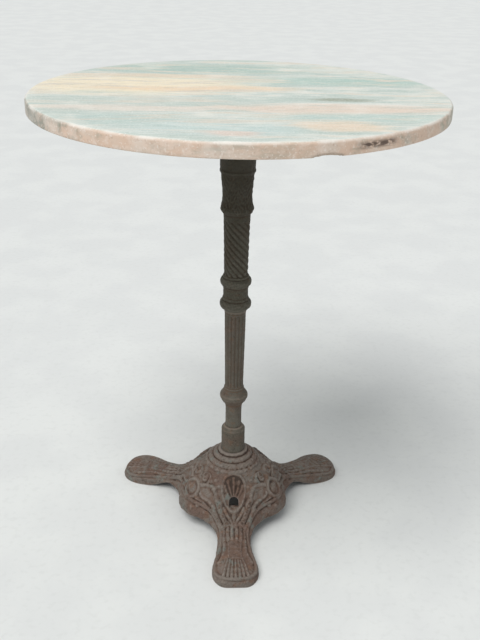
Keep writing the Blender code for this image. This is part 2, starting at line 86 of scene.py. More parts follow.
def newMaterial(name):
    made = bpy.data.materials.new(name)
    made.use_nodes = True
    tree = made.node_tree
    return made, tree, tree.nodes["Principled BSDF"].inputs, addNode(tree, "ShaderNodeTexCoord", out="Object")


def coatWhere(tree, colour, mask, start, full, strength, tint):
    # the tint comes in as the mask runs from start to full
    links = {0: mask, 1: start, 2: full, 4: strength}
    share = addNode(tree, "ShaderNodeMapRange", links, interpolation_type="SMOOTHSTEP")
    return addNode(tree, "ShaderNodeMix", {0: share, 6: colour, 7: hexColour(tint)}, 2, data_type="RGBA")


def layCoats(tree, coords, colour, coats):
    # each coat: blotch size in mm, noise detail, where it starts, where it is full, strength, colour
    for size, detail, *coat in coats:
        links = {"Vector": coords, "Scale": 1000 / size, "Detail": detail}
        colour = coatWhere(tree, colour, addNode(tree, "ShaderNodeTexNoise", links), *coat)
    return colour


def roughen(tree, coords, shader, size, detail, low, high):  # roughness that wanders between two values
    blotches = addNode(tree, "ShaderNodeTexNoise", {"Vector": coords, "Scale": 1000 / size, "Detail": detail})
    wander = addNode(tree, "ShaderNodeMapRange", {0: blotches, 1: 0.35, 2: 0.65, 3: low, 4: high})
    tree.links.new(wander, shader["Roughness"])


def pitSurface(tree, coords, shader, grains, strength):  # bump; grains: size in mm and depth in mm
    normal = None
    for size, depth in grains:
        height = addNode(tree, "ShaderNodeTexNoise", {"Vector": coords, "Scale": 1000 / size, "Detail": 3.0})
        links = {"Strength": strength, "Distance": depth * mm, "Height": height}
        if normal:
            links["Normal"] = normal
        normal = addNode(tree, "ShaderNodeBump", links)
    tree.links.new(normal, shader["Normal"])


# honed marble, left outdoors: sea-green and cream sediment drawn out along X, its side sawn and sandy pink

marbleLook = {
    "ground": ("#c3cfc6", "#e9eae2"),
    "stirScale": 9.0, "stir": (60, 26),  # bands wander over about 110 mm, this far along and across, in mm
    "streak": (130, 17), "hair": (30, 2.8),  # length and width in mm
    "roughness": (0.42, 0.58),
    "specular": 0.30,
    # fine drawn-out hairs: start, full, strength, colour
    "hairs": [(0.52, 0.70, 0.32, "#9aaea4"), (0.48, 0.30, 0.42, "#f8f5ec"), (0.60, 0.76, 0.26, "#a99684")],
    # colour, centre x and y, half length and half width in mm, strength
    "bands": [
        ("#adc4b9", -60, 195, 280, 72, 0.85),
        ("#e8e9e0", 150, 200, 170, 20, 0.60),
        ("#aecabf", 150, 92, 260, 52, 0.75),
        ("#f8e9cb", -170, 50, 265, 100, 1.00),
        ("#f0d3b3", -120, 128, 200, 26, 0.60),
        ("#f3d6b4", -70, 22, 190, 26, 0.75),
        ("#f3dabd", 0, 28, 130, 28, 0.65),
        ("#c6d0c6", -110, -72, 270, 50, 0.60),
        ("#8f937c", 140, -52, 74, 18, 0.70),
        ("#f2eee5", 190, -80, 180, 15, 0.65),
        ("#eed4c0", 130, -112, 260, 40, 0.75),
        ("#ecddcf", -160, -120, 190, 30, 0.65),
        ("#bdd2c9", 160, -168, 170, 34, 0.70),
        ("#b9cdc6", -175, -186, 150, 48, 0.70),
        ("#cbdcd8", -30, -232, 180, 50, 0.65),
        ("#f0d6b9", 125, -215, 80, 38, 0.70),
        ("#f0cdbb", -22, -255, 50, 20, 0.60),
    ],
    "topCoats": [
        (2.4, 3, 0.54, 0.70, 0.34, "#a9aa9c"), (2.8, 3, 0.47, 0.32, 0.38, "#fbfaf5"),
        (60, 4, 0.55, 0.70, 0.30, "#f4efe4"),
    ],
    # the arris colour is a painted highlight along the upper edge
    "arris": "#f1ede5", "broken": "#b9a594",
    # the scrape's flecks are about 8 mm long and 3 mm high
    "scrape": "#4d3c34", "fleckScale": (120.0, 120.0, 300.0), "flecks": (0.34, 0.56, 0.90),
    "sandy": "#dcc1ac",
    # the side's ends: grey at the left is painted shade, grey-green at the right is a painted reflection of
    # green surroundings
    "sideShadeAndReflection": [("#97968b", -300, -20, 230, 240, 1.0), ("#9a9c88", 300, 20, 220, 220, 1.0)],
    "sideCoats": [
        (40, 4, 0.46, 0.64, 0.45, "#d6cfc4"), (14, 4, 0.46, 0.62, 0.40, "#ead9cb"),
        (5, 3, 0.56, 0.72, 0.40, "#c3a592"), (2.4, 2, 0.60, 0.74, 0.35, "#a18877"),
        (2.8, 3, 0.44, 0.30, 0.45, "#f6efe7"),
    ],
}


def brushBands(tree, coords, fray, colour, bands):  # soft ellipses, torn at the edge
    for tint, x, y, halfLength, halfWidth, strength in bands:
        spread = (halfLength * mm, halfWidth * mm, 10.0)
        links = {"Vector": coords, "Location": (x * mm, y * mm, 0.71), "Scale": spread}
        patch = addNode(tree, "ShaderNodeMapping", links, vector_type="TEXTURE")
        ball = addNode(tree, "ShaderNodeTexGradient", {"Vector": patch}, "Fac", gradient_type="SPHERICAL")
        torn = addNode(tree, "ShaderNodeMath", {0: ball, 1: fray}, operation="ADD")
        colour = coatWhere(tree, colour, torn, 0.0, 0.60, strength, tint)
    return colour


def makeMarble(look):
    marble, tree, shader, coords = newMaterial("honedMarble")
    along, across = look["stir"]
    links = {"Vector": coords, "Scale": look["stirScale"], "Detail": 5.0}
    stir = addNode(tree, "ShaderNodeTexNoise", links, "Color")
    centred = addNode(tree, "ShaderNodeVectorMath", {0: stir, 1: (0.5, 0.5, 0.5)}, operation="SUBTRACT")
    links = {0: centred, 1: (along * mm, across * mm, across * mm)}
    sway = addNode(tree, "ShaderNodeVectorMath", links, operation="MULTIPLY")
    stirred = addNode(tree, "ShaderNodeVectorMath", {0: coords, 1: sway}, operation="ADD")
    drawn = {}
    for name in ("streak", "hair"):
        length, width = (1000 / size for size in look[name])
        stretched = addNode(tree, "ShaderNodeMapping", {"Vector": stirred, "Scale": (length, width, width)})
        links = {"Vector": stretched, "Scale": 1.0, "Detail": 5.0, "Roughness": 0.62}
        drawn[name] = addNode(tree, "ShaderNodeTexNoise", links)
    dark, light = look["ground"]
    colour = coatWhere(tree, hexColour(dark), drawn["streak"], 0.40, 0.60, 1.0, light)
    fray = addNode(tree, "ShaderNodeMath", {0: drawn["streak"], 1: 1.3, 2: -0.65}, operation="MULTIPLY_ADD")
    colour = brushBands(tree, stirred, fray, colour, look["bands"])
    for hair in look["hairs"]:
        colour = coatWhere(tree, colour, drawn["hair"], *hair)
    colour = layCoats(tree, coords, colour, look["topCoats"])
    # the side's ends are toned with painted shade and a painted reflection
    sandy = brushBands(tree, coords, fray, hexColour(look["sandy"]), look["sideShadeAndReflection"])
    sandy = layCoats(tree, coords, sandy, look["sideCoats"])
    # the side, the upper arris painted nearly white as a highlight, and the broken face of the bite
    tints = {"side": sandy, "arris": hexColour(look["arris"]), "broken": hexColour(look["broken"])}
    for name, tint in tints.items():
        share = addNode(tree, "ShaderNodeAttribute", out="Fac", attribute_name=name)
        colour = addNode(tree, "ShaderNodeMix", {0: share, 6: colour, 7: tint}, 2, data_type="RGBA")
    # a dark scrape on the side, made of short level flecks
    scrape = addNode(tree, "ShaderNodeAttribute", out="Fac", attribute_name="scrape")
    flat = addNode(tree, "ShaderNodeMapping", {"Vector": coords, "Scale": look["fleckScale"]})
    flecks = addNode(tree, "ShaderNodeTexNoise", {"Vector": flat, "Scale": 1.0, "Detail": 4.0})
    start, full, strength = look["flecks"]
    links = {0: flecks, 1: start, 2: full, 4: strength}
    share = addNode(tree, "ShaderNodeMapRange", links, interpolation_type="SMOOTHSTEP")
    share = addNode(tree, "ShaderNodeMath", {0: share, 1: scrape}, operation="MULTIPLY")
    links = {0: share, 6: colour, 7: hexColour(look["scrape"])}
    tree.links.new(addNode(tree, "ShaderNodeMix", links, 2, data_type="RGBA"), shader["Base Color"])
    shader["IOR"].default_value = 1.5
    shader["Specular IOR Level"].default_value = look["specular"]
    roughen(tree, coords, shader, 30, 4.0, *look["roughness"])
    pitSurface(tree, coords, shader, ((1.6, 0.10), (9, 0.25)), 0.30)
    return marble


# sand-cast iron, never painted: dull brown where dry, orange where rust breaks through, black in the hollows
# from dirt together with painted shade
# the relief attribute is 0 in a hollow, 0.5 on flat metal and 1 on a crest
# the sand's own grain is a few tenths of a millimetre, and is drawn 1.6 mm coarse so that it shows

ironLook = {
    "darkIron": {
        "ground": "#4f4b40", "hollow": "#2a261e", "crest": "#6b665b", "flank": "#4d3c2c", "hollowShare": 0.60,
        "coats": [
            (42, 4, 0.48, 0.60, 0.45, "#524f44"), (60, 3, 0.52, 0.64, 0.40, "#4b3a2c"),
            (9, 4, 0.58, 0.68, 0.45, "#5b432f"), (4.5, 3, 0.56, 0.70, 0.60, "#28241c"),
            (1.6, 2, 0.52, 0.72, 0.35, "#26221b"), (1.6, 2, 0.46, 0.30, 0.30, "#6f6b60"),
        ],
        # painted shade of the slab, darkening the column towards its top: heights in mm, strength, colour
        "slabShade": (440, 590, 0.72, "#282215"),
    },
    "brownIron": {
        "ground": "#5a544a", "hollow": "#322b23", "crest": "#86796c", "flank": "#634c3b", "hollowShare": 0.60,
        "coats": [
            (36, 4, 0.48, 0.60, 0.55, "#67645a"), (60, 3, 0.52, 0.64, 0.45, "#664f42"),
            (9, 4, 0.58, 0.68, 0.45, "#705440"), (4.5, 3, 0.58, 0.70, 0.55, "#372f27"),
            (1.6, 2, 0.52, 0.72, 0.35, "#312a23"), (1.6, 2, 0.46, 0.30, 0.30, "#857d72"),
        ],
    },
    "rustedIron": {
        "ground": "#6c635b", "hollow": "#30251d", "crest": "#897f76", "flank": "#675043", "hollowShare": 0.85,
        "coats": [
            (34, 4, 0.47, 0.60, 0.60, "#776b62"), (46, 3, 0.50, 0.62, 0.70, "#624a3f"),
            (18, 4, 0.59, 0.67, 0.60, "#6a736d"), (14, 4, 0.56, 0.70, 0.50, "#7b553d"),
            (7, 4, 0.56, 0.68, 0.50, "#43362d"), (3.5, 3, 0.58, 0.70, 0.55, "#362b23"),
            (1.6, 2, 0.52, 0.72, 0.40, "#34291f"), (1.6, 2, 0.46, 0.30, 0.30, "#958a7f"),
        ],
    },
}


def makeIron(name, look):
    iron, tree, shader, coords = newMaterial(name)
    colour = layCoats(tree, coords, hexColour(look["ground"]), look["coats"])
    relief = addNode(tree, "ShaderNodeAttribute", out="Fac", attribute_name="relief")
    # rust on the flanks, dirt together with painted shade in the hollows, crests pale from wear together with
    # a painted highlight
    for coat in (
        (0.50, 0.36, 0.65, look["flank"]),
        (0.42, 0.12, look["hollowShare"], look["hollow"]),
        (0.58, 0.92, 0.60, look["crest"]),
    ):
        colour = coatWhere(tree, colour, relief, *coat)
    # painted shade: the column is darkened towards its top, where the slab shades it
    if "slabShade" in look:
        low, high, strength, tint = look["slabShade"]
        height = addNode(tree, "ShaderNodeSeparateXYZ", {0: coords}, "Z")
        share = addNode(tree, "ShaderNodeMapRange", {0: height, 1: low * mm, 2: high * mm, 4: strength})
        links = {0: share, 6: colour, 7: hexColour(tint)}
        colour = addNode(tree, "ShaderNodeMix", links, 2, data_type="RGBA")
    tree.links.new(colour, shader["Base Color"])
    shader["Specular IOR Level"].default_value = 0.35
    roughen(tree, coords, shader, 26, 4.0, 0.62, 0.86)
    pitSurface(tree, coords, shader, ((1.5, 0.35), (5, 0.7)), 0.55)
    return iron


# the fixings: zinc-plated steel gone brown in spots, turned brass, moulded rubber with a chalky bloom

def makeZincSteel():
    steel, tree, shader, coords = newMaterial("zincPlatedSteel")
    coats = [(3, 2, 0.45, 0.62, 0.7, "#c8c9c4"), (8, 4, 0.54, 0.68, 0.85, "#7a5236")]
    colour = layCoats(tree, coords, hexColour("#a9aaa6"), coats)
    tree.links.new(colour, shader["Base Color"])
    shader["Metallic"].default_value = 0.75
    roughen(tree, coords, shader, 8, 4.0, 0.36, 0.72)
    pitSurface(tree, coords, shader, ((2.2, 0.10),), 0.3)
    return steel


def makeBrass():
    brass, tree, shader, coords = newMaterial("turnedBrass")
    links = {"Vector": coords, "Scale": 250.0, "Distortion": 0.4}
    rings = addNode(tree, "ShaderNodeTexWave", links, "Fac", bands_direction="Z")
    links = {0: rings, 6: hexColour("#a98545"), 7: hexColour("#cdab63")}
    colour = addNode(tree, "ShaderNodeMix", links, 2, data_type="RGBA")
    colour = layCoats(tree, coords, colour, [(5, 3, 0.54, 0.68, 0.6, "#6b5a35")])
    tree.links.new(colour, shader["Base Color"])
    shader["Metallic"].default_value = 1.0
    roughen(tree, coords, shader, 4, 3.0, 0.28, 0.46)
    return brass


def makeRubber():
    rubber, tree, shader, coords = newMaterial("mouldedRubber")
    coats = [(4, 4, 0.45, 0.72, 0.9, "#3a3937"), (1.5, 2, 0.6, 0.7, 0.5, "#55534f")]
    colour = layCoats(tree, coords, hexColour("#1b1b1b"), coats)
    tree.links.new(colour, shader["Base Color"])
    roughen(tree, coords, shader, 6, 3.0, 0.70, 0.92)
    pitSurface(tree, coords, shader, ((1.2, 0.08),), 0.4)
    return rubber


def makeScreed():  # the pale floor, with the faintest mottle
    screed, tree, shader, coords = newMaterial("paleScreed")
    coats = [(160, 4, 0.40, 0.62, 0.6, "#e3e4e1"), (12, 4, 0.5, 0.7, 0.25, "#cfd0cd")]
    colour = layCoats(tree, coords, hexColour("#dcdddb"), coats)
    tree.links.new(colour, shader["Base Color"])
    shader["Roughness"].default_value = 0.9
    shader["Specular IOR Level"].default_value = 0.2
    return screed


marble = makeMarble(marbleLook)
darkIron, brownIron, rustedIron = (makeIron(name, look) for name, look in ironLook.items())
zincSteel, brass, rubber = makeZincSteel(), makeBrass(), makeRubber()
print("materials made")


# mesh helpers

def putInScene(name, data):
    made = bpy.data.objects.new(name, data)
    scene.collection.objects.link(made)
    return made


def meshObject(name, points, faces, material, smooth=True):
    mesh = bpy.data.meshes.new(name)
    mesh.from_pydata([tuple(p) for p in points], [], faces)
    mesh.materials.append(material)
    mesh.update()
    if smooth:
        mesh.shade_smooth()
    return putInScene(name, mesh)


def storeShare(mesh, name, values):
    attribute = mesh.attributes.new(name, "FLOAT", "POINT")
    attribute.data.foreach_set("value", np.asarray(values, np.float32))


def readVectors(mesh, name):  # "co" or "normal" of every point
    flat = np.empty(len(mesh.vertices) * 3)
    mesh.vertices.foreach_get(name, flat)
    return flat.reshape(-1, 3)


def writePoints(mesh, points):
    mesh.vertices.foreach_set("co", points.ravel())
    mesh.update()


def bakeModifiers(made):  # the evaluated mesh in place of the modifiers
    graph = bpy.context.evaluated_depsgraph_get()
    mesh = bpy.data.meshes.new_from_object(made.evaluated_get(graph), depsgraph=graph)
    made.modifiers.clear()
    made.data = mesh
    return made


def markRelief(mesh, rounds, scale, darkening=0.0):
    # how far each point stands off its smoothed self: 0 in a hollow, 0.5 on flat metal, 1 on a crest
    points, normals = readVectors(mesh, "co"), readVectors(mesh, "normal")
    ends = np.empty(len(mesh.edges) * 2, np.int32)
    mesh.edges.foreach_get("vertices", ends)
    a, b = ends.reshape(-1, 2).T
    count = len(points)
    neighbours = np.maximum(np.bincount(a, minlength=count) + np.bincount(b, minlength=count), 1)
    soft = points.copy()
    for _ in range(rounds):
        for axis in range(3):
            total = np.bincount(a, soft[b, axis], count) + np.bincount(b, soft[a, axis], count)
            soft[:, axis] = (soft[:, axis] + total / neighbours) / 2
    bulge = ((points - soft) * normals).sum(1)
    storeShare(mesh, "relief", np.clip(0.5 + bulge / scale - darkening, 0, 1))


def roughCast(points, seed, size, height):  # a smooth, aimless unevenness made of crossing waves
    rng = np.random.default_rng(seed)
    total = np.zeros(len(points))
    for _ in range(14):
        direction = rng.normal(size=3)
        direction *= 2 * math.pi / (size * np.linalg.norm(direction) * rng.uniform(0.6, 1.7))
        total += np.sin(points @ direction + rng.uniform(0, 2 * math.pi))
    return total * height / math.sqrt(14)


def softStep(value, low, high):
    share = np.clip((value - low) / (high - low), 0, 1)
    return share * share * (3 - 2 * share)


def smoothRun(points, step):  # a Catmull-Rom line through the points; a point given twice is a corner
    run = []
    for i in range(len(points) - 1):
        start, end = np.array(points[i], float), np.array(points[i + 1], float)
        length = np.linalg.norm(end - start)
        if length < 1e-9:
            continue
        before = np.array(points[max(i - 1, 0)], float)
        after = np.array(points[min(i + 2, len(points) - 1)], float)
        count = max(1, round(length / step))
        for k in range(count):
            t = k / count
            run.append(
                0.5 * (2 * start + (end - before) * t + (2 * before - 5 * start + 4 * end - after) * t * t
                       + (3 * start - before - 3 * end + after) * t ** 3)
            )
    run.append(np.array(points[-1], float))
    return run


# slab: turned flat disc with eased arrises, small nicks and one bite out of its lower edge

slabShape = {
    "sides": 720,
    "upperEase": 4.5 * mm, "lowerEase": 2.0 * mm,
    "nick": 0.35 * mm,
    "biteAngle": -72.0, "biteHalfLength": 20 * mm, "biteDepth": 8 * mm, "biteHeight": 6 * mm,
    "scrapeAngle": -59.0, "scrapeHalfLength": 36 * mm,
}


def makeSlab(shape):
    low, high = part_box("marble_top")
    radius = (high.x - low.x) / 2
    profile = [(r * radius, high.z) for r in (0.06, 0.25, 0.45, 0.62, 0.76, 0.87, 0.94)]
    for i in range(9):
        turn = math.pi / 2 * i / 8
        ease = shape["upperEase"]
        profile.append((radius - ease + ease * math.sin(turn), high.z - ease + ease * math.cos(turn)))
    for i in range(1, 7):
        profile.append((radius, high.z - shape["upperEase"] - i * 1.9 * mm))
    for i in range(6):
        turn = math.pi / 2 * i / 5
        ease = shape["lowerEase"]
        profile.append((radius - ease + ease * math.cos(turn), low.z + ease - ease * math.sin(turn)))
    profile += [(radius - d * mm, low.z) for d in (4, 6.5, 10, 20)]
    profile += [(r * radius, low.z) for r in (0.8, 0.5, 0.2, 0.06)]
    sides = shape["sides"]
    angles = np.arange(sides) * 2 * math.pi / sides
    points = [(0, 0, high.z)]
    for r, z in profile:
        points += [(r * math.cos(a), r * math.sin(a), z) for a in angles]
    points.append((0, 0, low.z))
    last = len(points) - 1
    faces = []
    for i in range(sides):
        j = (i + 1) % sides
        faces.append((0, 1 + i, 1 + j))
        faces.append((last, last - sides + j, last - sides + i))
        for row in range(len(profile) - 1):
            a, b = 1 + row * sides, 1 + (row + 1) * sides
            faces.append((a + i, b + i, b + j, a + j))
    points = np.array(points)
    distance = np.hypot(points[:, 0], points[:, 1])
    out = points.copy()
    out[:, 2] = 0
    out /= np.maximum(distance, 1e-6)[:, None]
    # nicks: only where the slow waves happen to peak near an arris
    nearEdge = softStep(distance, radius - 9 * mm, radius - 2 * mm)
    waves = roughCast(points * (1, 1, 0.3), 5, 11 * mm, 1.0)
    nicks = np.clip(waves - 1.25, 0, 1.2) * nearEdge
    arris = np.maximum(softStep(points[:, 2], high.z - 8 * mm, high.z - 1 * mm),
                       softStep(points[:, 2], low.z + 6 * mm, low.z + 1 * mm))
    points -= out * (nicks * arris * shape["nick"] * 2.2)[:, None]
    points -= out * (roughCast(points, 8, 45 * mm, 0.12 * mm) * nearEdge + 0.15 * mm * nearEdge)[:, None]
    # the bite: every point inside an ellipsoid on the lower edge is pushed onto its surface
    angle = math.radians(shape["biteAngle"])
    centre = np.array((radius * math.cos(angle), radius * math.sin(angle), low.z - 0.8 * mm))
    axes = np.array((
        (-math.sin(angle), math.cos(angle), 0),
        (math.cos(angle), math.sin(angle), 0),
        (0, 0, 1),
    ))
    size = np.array((shape["biteHalfLength"], shape["biteDepth"], shape["biteHeight"]))
    local = (points - centre) @ axes.T / size
    ragged = 1 + 0.08 * roughCast(points, 3, 12 * mm, 1.0)
    reach = np.linalg.norm(local, axis=1) / ragged
    inside = reach < 1
    push = local.copy()
    push[:, 1] -= 0.35
    push[:, 2] += 0.35
    push[:, 0] *= 0.2
    push /= np.linalg.norm(push, axis=1)[:, None]
    along = (local * push).sum(1)
    step = -along + np.sqrt(np.maximum(along ** 2 - (local ** 2).sum(1) + ragged ** 2, 0))
    points[inside] = ((local + push * step[:, None]) * size)[inside] @ axes + centre
    points[inside, 2] = np.maximum(points[inside, 2], low.z)
    slab = meshObject("marbleSlab", points, faces, marble)
    slab.data.set_sharp_from_angle(angle=math.radians(40))
    side = softStep(distance, radius - 3.2 * mm, radius - 0.6 * mm)
    storeShare(slab.data, "side", side)
    # painted highlight: the upper arris is made nearly white, patchy along the edge
    highlightHeight = softStep(points[:, 2], high.z - 4.5 * mm, high.z - 1.5 * mm)
    arrisHighlight = softStep(distance, radius - 6 * mm, radius - 2.5 * mm) * highlightHeight
    storeShare(slab.data, "arris", arrisHighlight * (0.32 + 0.30 * np.clip(roughCast(points, 12, 30 * mm, 1.0), -1, 1)))
    storeShare(slab.data, "broken", softStep(1.12 - reach, 0, 0.12))
    # the scrape: a level smear on the side, right of the bite
    scrapeAt = math.radians(shape["scrapeAngle"])
    offset = np.abs(np.arctan2(points[:, 1], points[:, 0]) - scrapeAt) * radius
    scrape = softStep(offset, shape["scrapeHalfLength"], shape["scrapeHalfLength"] * 0.5)
    scrape *= softStep(distance, radius - 2 * mm, radius - 0.5 * mm)
    middle = (low.z + high.z) / 2
    storeShare(slab.data, "scrape", scrape * softStep(np.abs(points[:, 2] - middle), 6 * mm, 1.5 * mm))
    return slab


slab = makeSlab(slabShape)
print("slab made")


# turned and fluted pieces: one tree revolves a profile and cuts flutes where the profile asks for them

def newTree(name, inputs):
    tree = bpy.data.node_groups.new(name, "GeometryNodeTree")
    tree.interface.new_socket(name="Geometry", in_out="INPUT", socket_type="NodeSocketGeometry")
    for label, kind in inputs:
        tree.interface.new_socket(name=label, in_out="INPUT", socket_type="NodeSocket" + kind)
    tree.interface.new_socket(name="Geometry", in_out="OUTPUT", socket_type="NodeSocketGeometry")
    return tree, addNode(tree, "NodeGroupInput", out=None).outputs


def endTree(tree, geometry, material):  # every tree ends in real geometry with its material
    real = addNode(tree, "GeometryNodeRealizeInstances", {0: geometry})
    coated = addNode(tree, "GeometryNodeSetMaterial", {0: real, "Material": material})
    addNode(tree, "NodeGroupOutput", {0: coated}, None)
    return tree


def growFrom(source, tree, values):  # runs a tree on an object and keeps the plain mesh
    modifier = source.modifiers.new(tree.name, "NODES")
    modifier.node_group = tree
    for item in tree.interface.items_tree:
        if item.in_out == "INPUT" and item.name in values:
            modifier[item.identifier] = values[item.name]
    return bakeModifiers(source)


def addSums(tree, values, sums):  # each sum: its name, operation, and two earlier names or numbers
    for name, operation, first, second in sums:
        links = {0: values.get(first, first), 1: values.get(second, second)}
        values[name] = addNode(tree, "ShaderNodeMath", links, operation=operation)


def makeLatheTree():
    tree, given = newTree("turnAndFlute", [
        ("Sides", "Int"), ("Flutes", "Float"), ("Groove Depth", "Float"), ("Twist", "Float"),
        ("Material", "Material"),
    ])
    # the profile's points are (radius, share of groove depth, height)
    outline = addNode(tree, "GeometryNodeMeshToCurve", {0: given["Geometry"]})
    keepOutline = addNode(tree, "GeometryNodeCaptureAttribute", {0: outline}, None)
    keepOutline.capture_items.new("VECTOR", "outline")
    tree.links.new(addNode(tree, "GeometryNodeInputPosition"), keepOutline.inputs["outline"])
    turn = addNode(tree, "GeometryNodeCurvePrimitiveCircle", {"Resolution": given["Sides"], "Radius": 0.5})
    keepTurn = addNode(tree, "GeometryNodeCaptureAttribute", {0: turn}, None)
    keepTurn.capture_items.new("FLOAT", "turn")
    tree.links.new(addNode(tree, "GeometryNodeSplineParameter", out="Factor"), keepTurn.inputs["turn"])
    links = {"Curve": keepTurn.outputs[0], "Profile Curve": keepOutline.outputs[0]}
    swept = addNode(tree, "GeometryNodeCurveToMesh", links)
    profile = addNode(tree, "ShaderNodeSeparateXYZ", {0: keepOutline.outputs["outline"]}, None)
    values = dict(zip(("radius", "weight", "height"), profile.outputs), turn=keepTurn.outputs["turn"])
    values.update((name, given[name]) for name in ("Flutes", "Groove Depth", "Twist"))
    addSums(tree, values, (
        ("angle", "MULTIPLY", "turn", 2 * math.pi),
        ("lean", "MULTIPLY", "height", "Twist"),
        ("leaning", "ADD", "angle", "lean"),
        ("beats", "MULTIPLY", "leaning", "Flutes"),
        ("half", "MULTIPLY", "beats", 0.5),
        ("wave", "SINE", "half", 0.0),
        ("reed", "ABSOLUTE", "wave", 0.0),
        ("valley", "SUBTRACT", 1.0, "reed"),
        ("groove", "MULTIPLY", "valley", "weight"),
        ("cut", "MULTIPLY", "groove", "Groove Depth"),
        ("newRadius", "SUBTRACT", "radius", "cut"),
        ("cosine", "COSINE", "angle", 0.0),
        ("sine", "SINE", "angle", 0.0),
        ("x", "MULTIPLY", "newRadius", "cosine"),
        ("y", "MULTIPLY", "newRadius", "sine"),
    ))
    place = addNode(tree, "ShaderNodeCombineXYZ", {0: values["x"], 1: values["y"], 2: values["height"]})
    moved = addNode(tree, "GeometryNodeSetPosition", {0: swept, "Position": place})
    return endTree(tree, moved, given["Material"])


latheTree = makeLatheTree()


def turnPiece(name, outline, weights, material, sides, flutes=0.0, depth=0.0, twist=0.0):
    points = [(r, w, z) for (r, z), w in zip(outline, weights)]
    profile = bpy.data.meshes.new(name)
    profile.from_pydata(points, [(i, (i + 1) % len(points)) for i in range(len(points))], [])
    made = putInScene(name, profile)
    growFrom(made, latheTree, {
        "Sides": sides, "Flutes": flutes, "Groove Depth": depth, "Twist": twist, "Material": material,
    })
    bm = bmesh.new()
    bm.from_mesh(made.data)
    bmesh.ops.recalc_face_normals(bm, faces=bm.faces)
    bm.to_mesh(made.data)
    bm.free()
    made.data.shade_smooth()
    return made


def finishTurned(piece, seed, grainSize, grainHeight, coarse):
    # cast skin outside the coarse radius, sharp corners, hollows and crests marked
    points, normals = readVectors(piece.data, "co"), readVectors(piece.data, "normal")
    free = np.hypot(points[:, 0], points[:, 1]) > coarse
    grain = roughCast(points, seed, grainSize, grainHeight) * free
    writePoints(piece.data, points + normals * grain[:, None])
    piece.data.set_sharp_from_angle(angle=math.radians(60))
    markRelief(piece.data, 12, 1.1 * mm)
    return piece


def weightsBetween(outline, bottom, top, fade, bore):  # 1 on the outer face between two heights
    weights = []
    for r, z in outline:
        share = float(softStep(z, bottom, bottom + fade) * softStep(z, top, top - fade))
        weights.append(share if r > bore + 1 * mm else 0.0)
    return weights


def millimetres(points):
    return [(r * mm, z * mm) for r, z in points]


def keepBetween(outline, low, high):
    return [(r, min(max(z, low.z), high.z)) for r, z in outline]


# upper column: capital wrapped in hanging leaves, rope-twisted shaft, two beads with a plain band between

upperShape = {
    "sides": 240, "flutes": 12, "grooveDepth": 1.4 * mm, "lead": 130 * mm,
    "twistTop": 531 * mm, "twistBottom": 438 * mm,
    "leaves": 6, "leafTop": 603 * mm, "leafTip": 543.5 * mm, "recess": 1.5 * mm, "veinDepth": 0.6 * mm,
    "capital": [
        (30, 667.5), (31.5, 666), (31.5, 661), (30.6, 659), (28.6, 657), (28.0, 655), (28.0, 655),
        (27.9, 645), (27.4, 632), (26.9, 622), (26.6, 609), (27.2, 607.6), (27.2, 605.4), (26.3, 604),
        (25.6, 603.6), (25.6, 603.6), (25.4, 598), (24.2, 585), (23.3, 573), (23.2, 565), (24.4, 556),
        (26.1, 549.5), (26.5, 546.5), (25.6, 544), (23.4, 541.6), (21.4, 540.4), (20.9, 539), (20.9, 539),
    ],
    "shaft": [(20.7, 537), (20.5, 530), (19.9, 505), (19.3, 470), (18.9, 445), (18.8, 439.6), (18.8, 439.6)],
    "beads": [
        (20.2, 438.6), (20.9, 437.2), (20.9, 435.4), (20.9, 435.4), (22.4, 434.2), (24.2, 431.4),
        (24.8, 428.2), (24.2, 425.2), (22.6, 422.6), (21.0, 420.8), (20.4, 419.6), (20.4, 418.2),
        (19.7, 417.4), (19.7, 417.4), (19.7, 402.6), (19.7, 402.6), (20.6, 401.4), (21.2, 399.6),
        (21.2, 397.6), (21.2, 397.6), (23.2, 396.0), (24.8, 393.0), (25.2, 389.6), (24.5, 386.2),
        (22.4, 383.6), (20.4, 382.4), (19.6, 381.4), (18.6, 380.4), (18.4, 380), (18.4, 380),
    ],
    "socket": 10.8 * mm, "socketTop": 392.3 * mm, "bore": 7.5 * mm,
}


def makeUpperColumn(shape):
    low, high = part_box("upper_column")
    outer = smoothRun(millimetres(shape["capital"] + shape["shaft"] + shape["beads"]), 1.0 * mm)
    outline = keepBetween(outer, low, high) + [
        (shape["socket"], low.z), (shape["socket"], shape["socketTop"]),
        (shape["bore"], shape["socketTop"]), (shape["bore"], high.z),
    ]
    weights = weightsBetween(outline, shape["twistBottom"], shape["twistTop"], 3 * mm, shape["socket"])
    column = turnPiece(
        "upperColumn", outline, weights, darkIron, shape["sides"], shape["flutes"], shape["grooveDepth"],
        2 * math.pi / shape["lead"],
    )
    carveLeaves(column.data, shape)
    return finishTurned(column, 21, 6 * mm, 0.16 * mm, shape["socket"] + 2 * mm)


